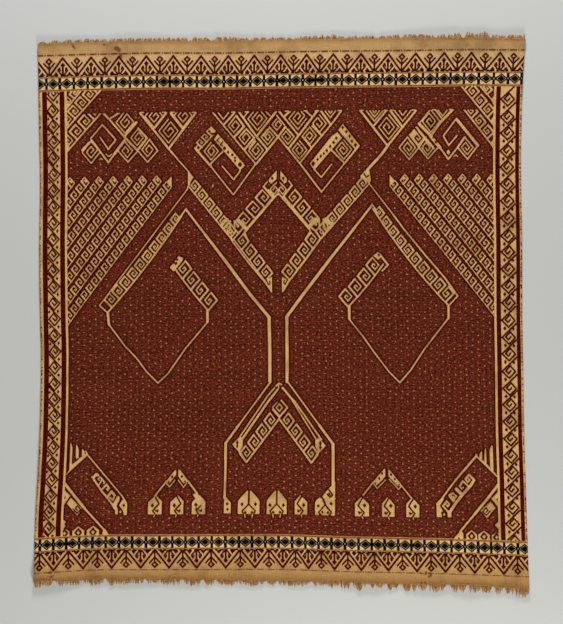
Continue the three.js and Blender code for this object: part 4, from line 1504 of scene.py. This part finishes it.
@dataclass(frozen=True)
class GroundFinish:
    """The aged cotton ground: plain weave, slubs, mottling and a browner raw edge."""

    name: str = "beige_cotton_ground"
    # Columns: v in millimetres, colour there as it shows on a screen.
    zones: tuple[tuple[float, tuple[int, int, int]], ...] = (
        (-376, (138, 94, 48)), (-366, (176, 134, 80)), (-340, (206, 162, 98)), (-328, (238, 196, 134)),
        (-308, (212, 168, 104)), (306, (214, 170, 106)), (326, (238, 196, 134)), (340, (216, 176, 118)),
        (360, (206, 166, 110)), (366, (186, 147, 95)), (376, (184, 145, 93)), (384, (146, 102, 54)),
    )
    dirt: tuple[int, int, int] = (112, 76, 42)
    stain: tuple[int, int, int] = (100, 54, 36)
    # Columns: u, v, half length, half width, lean in degrees.
    stains: tuple[tuple[float, ...], ...] = (
        (-227.6, 371.4, 6.2, 3.8, -38), (-223.0, 362.2, 4.0, 2.6, -60), (-246.0, 378.0, 2.0, 1.6, 0),
        (-288.4, 376.2, 5.0, 1.7, -52), (-315.5, -361.4, 2.8, 2.2, 0), (-314.0, -367.8, 3.0, 1.9, 20),
        (197.4, -361.0, 3.6, 1.9, 80), (203.6, -362.4, 3.9, 2.2, -58), (190.6, -361.0, 2.0, 1.6, 0),
        (201.4, -365.4, 2.0, 1.6, 0), (190.8, -373.0, 2.0, 1.5, 80), (196.0, -373.0, 2.2, 1.6, 80),
    )
    stain_strength: float = 0.85
    thread_pitch: float = 0.82
    slub_width: float = 0.9
    slub_length: float = 14.0
    most_dirt: float = 0.4

    def material(self, weave: bpy.types.NodeTree, streaks: bpy.types.NodeTree) -> bpy.types.Material:
        """Builds the material.

        Args:
            weave: the node group of the plain weave.
            streaks: the node group of uneven thread.

        Returns:
            The material.
        """
        material = bpy.data.materials.new(self.name)
        material.use_nodes = True
        shader = Shader(material.node_tree)
        surface = material.node_tree.nodes["Principled BSDF"]
        surface.inputs["Roughness"].default_value = 0.9
        surface.inputs["Sheen Weight"].default_value = 0.03
        surface.inputs["Specular IOR Level"].default_value = 0.1
        across, along = place_nodes(shader)
        low, high = self.zones[0][0], self.zones[-1][0]
        position = shader.math("DIVIDE", shader.math("SUBTRACT", along, low), high - low)
        stops = tuple(((v - low) / (high - low), linear(*shade)) for v, shade in self.zones)
        colour = shader.ramp(position, stops)
        warp = streaked(shader, streaks, across, along, self.slub_width, self.slub_length)
        weft = streaked(shader, streaks, along, across, self.slub_width, self.slub_length, 3.0)
        knit = shader.add("ShaderNodeGroup", node_tree=weave)
        knit.inputs["Pitch"].default_value = self.thread_pitch
        shader.join(across, knit.inputs["Across"])
        shader.join(along, knit.inputs["Along"])
        slub = shader.mix(knit.outputs["Warp on top"], weft, warp)
        colour = shader.mix(1.0, colour, shader.math("MULTIPLY_ADD", slub, 0.42, 0.79), "MULTIPLY")
        colour = self.soiled(shader, colour)
        shader.join(colour, surface.inputs["Base Color"])
        bump = shader.add("ShaderNodeBump", Strength=0.55, Distance=0.00025)
        shader.join(knit.outputs["Height"], bump.inputs["Height"])
        shader.join(bump.outputs[0], surface.inputs["Normal"])
        return material

    def soiled(self, shader: Shader, colour: bpy.types.NodeSocket) -> bpy.types.NodeSocket:
        """The colour under a faint mottle and the ragged brown stains.

        A stain fades with the distance from its middle, in shares of its own oval, less a
        fine noise.
        """
        uv = shader.add("ShaderNodeUVMap", uv_map="layout").outputs[0]
        spot = shader.add("ShaderNodeTexNoise", Scale=26.0, Detail=4.0, Roughness=0.6)
        shader.join(uv, spot.inputs["Vector"])
        mottle = shader.math("MULTIPLY_ADD", spot.outputs[0], 2.6, -1.25, clamp=True)
        colour = shader.mix(shader.math("MINIMUM", mottle, self.most_dirt), colour, linear(*self.dirt))
        ragged = shader.add("ShaderNodeTexNoise", Scale=420.0, Detail=3.0)
        shader.join(uv, ragged.inputs["Vector"])
        nearest = None
        for u, v, long, wide, lean in self.stains:
            frame = shader.add("ShaderNodeMapping", vector_type="TEXTURE")
            shader.join(uv, frame.inputs["Vector"])
            frame.inputs["Location"].default_value = (u * MM, v * MM, 0.0)
            frame.inputs["Rotation"].default_value = (0.0, 0.0, float(np.radians(lean)))
            frame.inputs["Scale"].default_value = (long * MM, wide * MM, 1.0)
            far = shader.add("ShaderNodeVectorMath", operation="LENGTH")
            shader.join(frame.outputs[0], far.inputs[0])
            far = far.outputs["Value"]
            nearest = far if nearest is None else shader.math("MINIMUM", nearest, far)
        reach = shader.math("MULTIPLY_ADD", ragged.outputs[0], 1.2, 0.45)
        inside = shader.math("MULTIPLY", shader.math("SUBTRACT", reach, nearest), 3.0, clamp=True)
        return shader.mix(shader.math("MULTIPLY", inside, self.stain_strength), colour, linear(*self.stain))


def mesh_object(
    name: str, points: np.ndarray, faces: np.ndarray, layout_uv: np.ndarray,
    values: dict[str, np.ndarray], material: bpy.types.Material,
) -> bpy.types.Object:
    """Puts arrays of points and faces into a new object.

    Args:
        name: the object's name.
        points: x, y and z of each point, in metres.
        faces: corners of each four-sided face, in turn.
        layout_uv: u and v of each point, in metres of the flat layout.
        values: further numbers at each point, by name.
        material: its material.

    Returns:
        The object, with smooth faces.
    """
    mesh = bpy.data.meshes.new(name)
    mesh.vertices.add(len(points))
    mesh.vertices.foreach_set("co", points.astype(np.float32).ravel())
    mesh.loops.add(faces.size)
    mesh.loops.foreach_set("vertex_index", faces.astype(np.int32).ravel())
    mesh.polygons.add(len(faces))
    sides = faces.shape[1]
    mesh.polygons.foreach_set("loop_start", np.arange(0, faces.size, sides, dtype=np.int32))
    mesh.update(calc_edges=True)
    mesh.polygons.foreach_set("use_smooth", np.ones(len(faces), dtype=bool))
    uv = mesh.uv_layers.new(name="layout")
    uv.data.foreach_set("uv", layout_uv[faces.ravel()].astype(np.float32).ravel())
    for label, numbers in values.items():
        attribute = mesh.attributes.new(label, "FLOAT", "POINT")
        attribute.data.foreach_set("value", numbers.astype(np.float32))
    mesh.materials.append(material)
    piece = bpy.data.objects.new(name, mesh)
    bpy.context.scene.collection.objects.link(piece)
    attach(piece, "root")
    return piece


@dataclass
class Sheet:
    """The plain woven ground, as a thin closed sheet on the solid's underside."""

    layout: Layout
    shift: tuple[float, float, float]
    thickness: float = 1.0
    step_across: float = 4.0
    step_along: float = 4.0
    edge_round: float = 0.35

    def rise(self, u: np.ndarray, v: np.ndarray) -> np.ndarray:
        """Height of the face of the ground at each point, in millimetres."""
        return self.layout.lift(u, v) + self.thickness

    def points(self, u: np.ndarray, v: np.ndarray, height: np.ndarray) -> np.ndarray:
        """Real places, in metres, of points of the layout at a height in millimetres."""
        x, y = self.layout.place(u, v)
        real = np.stack([x, y, height], axis=-1).reshape(-1, 3)
        return (real + np.array(self.shift)) * MM

    def build(self, material: bpy.types.Material) -> bpy.types.Object:
        """Makes the sheet: a grid for its face, the same for its back, and a wall round them.

        The face drops a little at its outermost row of points, which rounds the edge.

        Args:
            material: the ground's finish.

        Returns:
            The object.
        """
        layout = self.layout
        half, length = layout.half_width, layout.top_end - layout.bottom_end
        across = np.linspace(-half, half, round(2 * half / self.step_across))
        along = np.linspace(layout.bottom_end, layout.top_end, round(length / self.step_along))
        across = np.insert(across, [1, len(across) - 1], [across[0] + 0.6, across[-1] - 0.6])
        along = np.insert(along, [1, len(along) - 1], [along[0] + 0.6, along[-1] - 0.6])
        u, v = np.meshgrid(across, along)
        inset = np.minimum(layout.half_width - np.abs(u), np.minimum(v - along[0], along[-1] - v))
        under = layout.lift(u, v)
        face = under + self.thickness - self.edge_round * (inset < 0.3)
        back = under + self.edge_round * (inset < 0.3)
        places = np.concatenate([self.points(u, v, back), self.points(u, v, face)])
        rows, columns = u.shape
        corner = np.arange(rows * columns).reshape(rows, columns)
        quads = np.stack([corner[:-1, :-1], corner[:-1, 1:], corner[1:, 1:], corner[1:, :-1]], axis=-1)
        upper = quads.reshape(-1, 4) + rows * columns
        lower = quads.reshape(-1, 4)[:, ::-1]
        rim = np.concatenate([corner[0, :-1], corner[:-1, -1], corner[-1, :0:-1], corner[:0:-1, 0]])
        after = np.roll(rim, -1)
        wall = np.stack([rim, after, after + rows * columns, rim + rows * columns], axis=-1)
        faces = np.concatenate([upper, lower, wall])
        uv = np.stack([u.ravel(), v.ravel()], axis=-1) * MM
        piece = mesh_object("ground", places, faces, np.concatenate([uv, uv]), {}, material)
        return piece


@dataclass
class Floats:
    """The extra weft: each run of a yarn on a pick is one low rounded float."""

    sheet: Sheet
    chart: Chart
    crown: float = 0.5
    edge_rise: float = 0.06
    sunk: float = 0.1
    dip: float = 0.38
    short: float = 1.3
    overlap: float = 0.14
    station_gap: float = 26.0
    piece_limit: int = 180000

    def runs(self, yarn: Yarn) -> tuple[np.ndarray, np.ndarray, np.ndarray]:
        """Rows, starts and ends of every run of a yarn, the last two in millimetres across."""
        on = np.pad(self.chart.yarn == yarn, ((0, 0), (1, 1)))
        row, start = np.nonzero(on[:, 1:] & ~on[:, :-1])
        _, end = np.nonzero(~on[:, 1:] & on[:, :-1])
        left = self.chart.u[0] - self.chart.fine / 2
        edge = self.sheet.layout.half_width
        starts = np.maximum(left + start * self.chart.fine - self.overlap, -edge)
        ends = np.minimum(left + end * self.chart.fine + self.overlap, edge)
        return row, starts, ends

    def strips(
        self, row: np.ndarray, start: np.ndarray, end: np.ndarray, stations: int, first: int,
    ) -> tuple:
        """Points and faces of floats that have the same number of stations.

        Across a float there are three points: an edge, the crown and the other edge. Along
        it the end stations are sunk into the ground and the others stand at full height.

        Args:
            row: row of each float.
            start: its left end.
            end: its right end.
            stations: number of stations along each.
            first: number of the first point.

        Returns:
            u, v, height over the ground, float number and faces.
        """
        length = (end - start)[:, None]
        dip = np.minimum(self.dip, length * 0.2)
        inner = np.linspace(0, 1, stations - 2)[None, :] if stations > 3 else np.array([[0.5]])
        places = dip + (length - 2 * dip) * inner
        along = np.concatenate([np.zeros_like(length), places, length], axis=1) + start[:, None]
        full = np.ones(stations)
        full[[0, -1]] = 0.0
        half = self.chart.pick / 2 * (0.85 + 0.15 * full)
        across = np.stack([-half, np.zeros(stations), half], axis=-1)
        edge = np.where(full > 0, self.edge_rise, -self.sunk)
        top = np.where(full > 0, self.crown, -self.sunk)
        height = np.stack([edge, top, edge], axis=-1)
        shape = (len(row), stations, 3)
        u = np.broadcast_to(along[:, :, None], shape)
        v = self.chart.v[row][:, None, None] + across[None]
        height = np.broadcast_to(height[None], shape)
        number = np.broadcast_to(np.arange(len(row))[:, None, None], shape)
        index = first + np.arange(u.size).reshape(shape)
        near, far = index[:, :-1], index[:, 1:]
        quads = [
            np.stack([near[..., k], far[..., k], far[..., k + 1], near[..., k + 1]], axis=-1)
            for k in range(2)
        ]
        faces = np.concatenate([q.reshape(-1, 4) for q in quads])
        return u.ravel(), v.ravel(), height.ravel(), number.ravel(), faces

    def build(
        self, yarn: Yarn, name: str, material: bpy.types.Material, seed: int,
    ) -> list[bpy.types.Object]:
        """Makes the floats of one yarn, in as many pieces as the triangle limit asks for.

        Args:
            yarn: the yarn.
            name: start of the pieces' names.
            material: its finish.
            seed: start of the uneven tones.

        Returns:
            The pieces.
        """
        row, start, end = self.runs(yarn)
        uneven = np.random.default_rng(seed)
        length = end - start
        stations = np.where(length < self.short, 3, 4 + (length / self.station_gap).astype(int))
        triangles = np.cumsum((stations - 1) * 4)
        part = triangles // self.piece_limit
        pieces = []
        for k in range(int(part.max()) + 1):
            chosen = part == k
            blocks, first, tones = [], 0, []
            for count in np.unique(stations[chosen]):
                pick = np.nonzero(chosen & (stations == count))[0]
                block = self.strips(row[pick], start[pick], end[pick], int(count), first)
                tones.append(uneven.uniform(0, 1, len(pick))[block[3]])
                blocks.append(block)
                first += len(block[0])
            u, v, height = (np.concatenate([b[i] for b in blocks]) for i in range(3))
            faces = np.concatenate([b[4] for b in blocks])
            places = self.sheet.points(u, v, self.sheet.rise(u, v) + height)
            uv = np.stack([u, v], axis=-1) * MM
            tone = {"tone": np.concatenate(tones)}
            piece = mesh_object(f"{name}_{k + 1}", places, faces, uv, tone, material)
            pieces.append(piece)
        return pieces


@dataclass
class Fringe:
    """A raw end: fine uneven warp ends that stand out past the last weft."""

    sheet: Sheet
    end: int
    seed: int
    lengths: tuple[tuple[float, float], ...]
    notches: tuple[tuple[float, float], ...]
    pitch: float = 0.74
    root: float = 0.46
    tip: float = 0.26
    inset: float = 2.0
    sides: int = 4
    stations: int = 5
    sway: float = 0.75
    parting: float = 0.2

    def build(self, name: str, material: bpy.types.Material) -> bpy.types.Object:
        """Makes the warp ends as tapered tubes.

        Each runs straight out from the raw end with a sideways drift that grows with the
        square of the way along it, and eases down to the surface. Neighbours lean
        together into tufts, each of its own length.

        Args:
            name: the piece's name.
            material: its finish.

        Returns:
            The object.
        """
        layout = self.sheet.layout
        uneven = np.random.default_rng(self.seed)
        base = np.arange(-layout.half_width + 0.8, layout.half_width, self.pitch)
        base = base + uneven.uniform(-0.3, 0.3, len(base))
        table = np.array(self.lengths, dtype=float)
        length = through(table[:, 0], table[:, 1], base)
        gaps = np.array(self.notches, dtype=float)
        depth = 1 - np.abs(base[:, None] - gaps[:, 0]) / (gaps[:, 1] / 2 + 2.6)
        tuft = np.cumsum(uneven.random(len(base)) < self.parting)
        tufts = tuft[-1] + 1
        own = uneven.uniform(0.85, 1.1, len(base)) * uneven.uniform(0.72, 1.2, tufts)[tuft]
        length = np.maximum(length * (1 - np.maximum(depth.max(axis=1), 0)) * own, 0.4)
        t = np.linspace(0, 1, self.stations)[None, :]
        middles = np.bincount(tuft, base) / np.maximum(np.bincount(tuft), 1)
        lean = uneven.normal(0, self.sway, tufts)[tuft] + 0.5 * (middles[tuft] - base)
        drift = (lean + uneven.normal(0, 0.3, len(base)))[:, None] * t ** 2
        wave = 0.35 * np.sin(t * 7 + uneven.uniform(0, 6, len(base))[:, None]) * t
        out = -self.inset + (length[:, None] + self.inset) * t
        end_v = layout.top_end if self.end > 0 else layout.bottom_end
        u = base[:, None] + drift + wave
        under = layout.lift(u, np.full_like(u, end_v))
        past = np.clip(out / 8.0, 0, 1)
        middle = under * (1 - 0.55 * past) + 0.55 + 0.25 * (1 - past) * np.sin(base * 3.1)[:, None]
        thick = (self.root + (self.tip - self.root) * t) * uneven.uniform(0.8, 1.25, len(base))[:, None]
        angle = np.arange(self.sides) / self.sides * 2 * np.pi
        x, y = layout.place(u, np.full_like(u, end_v))
        ring_x = x[..., None] + thick[..., None] * np.cos(angle)
        ring_z = np.maximum(middle[..., None] + thick[..., None] * np.sin(angle), 0.03)
        ring_y = np.broadcast_to((y + self.end * out)[..., None], ring_x.shape)
        real = np.stack([ring_x, ring_y, ring_z], axis=-1).reshape(-1, 3)
        real = (real + np.array(self.sheet.shift)) * MM
        index = np.arange(ring_x.size).reshape(ring_x.shape)
        near, far = index[:, :-1], index[:, 1:]
        turned = (np.roll(near, -1, axis=2), np.roll(far, -1, axis=2))
        order = [near, turned[0], turned[1], far] if self.end < 0 else [near, far, turned[1], turned[0]]
        sides = np.stack(order, axis=-1).reshape(-1, 4)
        caps = index[:, -1] if self.end > 0 else index[:, -1, ::-1]
        faces = np.concatenate([sides, caps[:, ::-1]])
        flat_u = np.broadcast_to(u[..., None], ring_x.shape).ravel()
        flat_v = np.broadcast_to((end_v + self.end * out)[..., None], ring_x.shape).ravel()
        tone = np.broadcast_to(uneven.uniform(0, 1, len(base))[:, None, None], ring_x.shape).ravel()
        uv = np.stack([flat_u, flat_v], axis=-1) * MM
        piece = mesh_object(name, real, faces, uv, {"tone": tone}, material)
        return piece


TOP_FRINGE = {
    "lengths": (
        (-338, 3.0), (-290, 4.4), (-120, 4.8), (-40, 4.2), (10, 3.2), (60, 5.2), (120, 3.8),
        (180, 5.4), (235, 5.2), (277, 8.2), (300, 5.2), (338, 5.8),
    ),
    "notches": (
        (-324, 4), (-305, 3), (-241, 3), (-127, 5), (-96, 4), (-44, 3), (-19, 3), (17, 3),
        (90, 3), (107, 2), (132, 6), (166, 3), (214, 6), (230, 3), (252, 3), (290, 4),
    ),
}
BOTTOM_FRINGE = {
    "lengths": (
        (-338, 7.8), (-300, 7.2), (-255, 8.6), (-200, 7.4), (-130, 7.8), (-60, 7.2), (30, 6.8),
        (80, 7.8), (105, 9.8), (140, 8.0), (190, 10.2), (240, 8.6), (270, 11.0), (338, 9.6),
    ),
    "notches": (
        (-309, 4), (-272, 4), (-240, 4), (-186, 5), (-136, 5), (-108, 4), (-90, 3), (-59, 3),
        (-22, 3), (-6, 3), (40, 10), (96, 3), (117, 7), (142, 3), (162, 6), (185, 4),
        (200, 3), (227, 9), (254, 5), (289, 4), (303, 4), (318, 4),
    ),
}

YARNS = {
    Yarn.FIELD: YarnFinish("red_weft", (50, 10, 6), (102, 41, 26), (172, 76, 46), 3.0, 0.12),
    Yarn.FIGURE: YarnFinish("maroon_weft", (48, 3, 3), (80, 9, 8), (122, 34, 22), 3.4),
    Yarn.INDIGO: YarnFinish("indigo_weft", (2, 3, 6), (6, 9, 16), (22, 28, 38), 5.0),
    Yarn.CORD: YarnFinish("orange_cord", (120, 66, 34), (168, 104, 54), (204, 140, 80), 5.0),
    Yarn.END_LINE: YarnFinish("red_line", (104, 40, 28), (136, 64, 42), (166, 100, 66), 5.0),
}
FRINGE_YARN = YarnFinish("fringe_yarn", (96, 60, 23), (150, 105, 50), (198, 152, 90), 4.0)


@dataclass
class Studio:
    """The pale floor, the soft lights and the camera straight above the cloth."""

    scale: float = 1.4
    image_height: float = 624.0
    image_middle: tuple[float, float] = (0.0, 1.4)
    lens: float = 90.0
    sensor: float = 36.0

    def build(self, shift: tuple[float, float, float]) -> None:
        """Makes the floor, lights, world and camera.

        Args:
            shift: where the photograph's own origin lies in the frame, in millimetres.
        """
        scene = bpy.context.scene
        scene.view_settings.view_transform = "Standard"
        self.floor()
        data = bpy.data.cameras.new("camera")
        data.lens = self.lens
        data.sensor_width = self.sensor
        data.clip_end = 20.0
        camera = bpy.data.objects.new("camera", data)
        scene.collection.objects.link(camera)
        away = self.lens / self.sensor * self.image_height * self.scale
        camera.location = (
            (self.image_middle[0] + shift[0]) * MM,
            (self.image_middle[1] + shift[1]) * MM,
            (away + 1.5) * MM,
        )
        scene.camera = camera
        world = bpy.data.worlds.new("studio")
        world.use_nodes = True
        world.node_tree.nodes["Background"].inputs["Color"].default_value = (0.94, 0.97, 1.0, 1.0)
        world.node_tree.nodes["Background"].inputs["Strength"].default_value = 0.27
        scene.world = world
        neutral, warm = (1.0, 1.0, 1.0), (1.0, 0.98, 0.93)
        for name, place, size, power, tint in (
            ("top_light", (0.0, 2.0, 0.66), 0.32, 48.0, neutral),
            ("bottom_light", (0.3, -1.7, 0.62), 0.34, 29.5, warm),
            ("overhead", (0.0, 0.0, 2.6), 1.6, 5.0, neutral),
        ):
            self.light(name, place, size, power, tint)

    def light(
        self, name: str, place: tuple[float, float, float], size: float, power: float,
        tint: tuple[float, float, float],
    ) -> None:
        """A square area light that faces the middle of the cloth."""
        data = bpy.data.lights.new(name, "AREA")
        data.size = size
        data.energy = power
        data.color = tint
        lamp = bpy.data.objects.new(name, data)
        lamp.location = place
        aim = -np.array(place)
        flat = np.hypot(aim[0], aim[1])
        tilt, turn = np.arctan2(flat, -aim[2]), np.arctan2(aim[0], -aim[1]) + np.pi
        lamp.rotation_euler = (float(tilt), 0.0, float(turn))
        bpy.context.scene.collection.objects.link(lamp)

    def floor(self) -> None:
        """A plain pale floor just under the cloth."""
        mesh = bpy.data.meshes.new("floor")
        side = 6.0
        square = [(-side, -side, 0), (side, -side, 0), (side, side, 0), (-side, side, 0)]
        mesh.from_pydata(square, [], [(0, 1, 2, 3)])
        material = bpy.data.materials.new("pale_floor")
        material.use_nodes = True
        surface = material.node_tree.nodes["Principled BSDF"]
        surface.inputs["Base Color"].default_value = (*linear(195, 195, 192), 1.0)
        surface.inputs["Roughness"].default_value = 0.9
        mesh.materials.append(material)
        floor = bpy.data.objects.new("floor", mesh)
        floor.location = (0, 0, -0.0003)
        bpy.context.scene.collection.objects.link(floor)


def layout_shift(layout: Layout) -> tuple[float, float, float]:
    """How far the frame's cloth lies from the layout's own origin, in millimetres."""
    low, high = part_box("cloth")
    across = np.linspace(-layout.half_width, layout.half_width, 2001)
    along = np.linspace(layout.bottom_end, layout.top_end, 2001)
    edges = [
        layout.place(np.full_like(along, side * layout.half_width), along) for side in (-1, 1)
    ] + [layout.place(across, np.full_like(across, v)) for v in (layout.bottom_end, layout.top_end)]
    x = np.concatenate([edge[0] for edge in edges])
    y = np.concatenate([edge[1] for edge in edges])
    return (
        float((low.x + high.x) / 2 / MM - (x.min() + x.max()) / 2),
        float((low.y + high.y) / 2 / MM - (y.min() + y.max()) / 2),
        0.0,
    )


def main() -> None:
    """Builds the dressed cloth and the studio round it."""
    logging.basicConfig(level=logging.INFO, format="%(name)s: %(message)s")
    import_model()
    layout = Layout()
    shift = layout_shift(layout)
    LOG.info("layout shift %.3f %.3f mm", shift[0], shift[1])
    chart = Chart(layout)
    Pattern(layout, chart).draw()
    weave, streaks = threads_group(), streaks_group()
    sheet = Sheet(layout, shift)
    ground = sheet.build(GroundFinish().material(weave, streaks))
    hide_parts("cloth")
    LOG.info("ground: %d faces", len(ground.data.polygons))
    floats = Floats(sheet, chart)
    pieces = []
    for yarn, finish in YARNS.items():
        made = floats.build(yarn, finish.name, finish.material(streaks), int(yarn))
        LOG.info("%s: %d pieces, %d faces", finish.name, len(made), sum(len(p.data.polygons) for p in made))
        pieces += made
    yarn_end = FRINGE_YARN.material(streaks)
    for end, name, sizes in ((1, "fringe_top", TOP_FRINGE), (-1, "fringe_bottom", BOTTOM_FRINGE)):
        fringe = Fringe(sheet, end, 20 + end, **sizes).build(name + "_ends", yarn_end)
        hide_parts(name)
        LOG.info("%s: %d faces", fringe.name, len(fringe.data.polygons))
        pieces.append(fringe)
    Studio().build(shift)


if __name__ == "__main__":
    main()
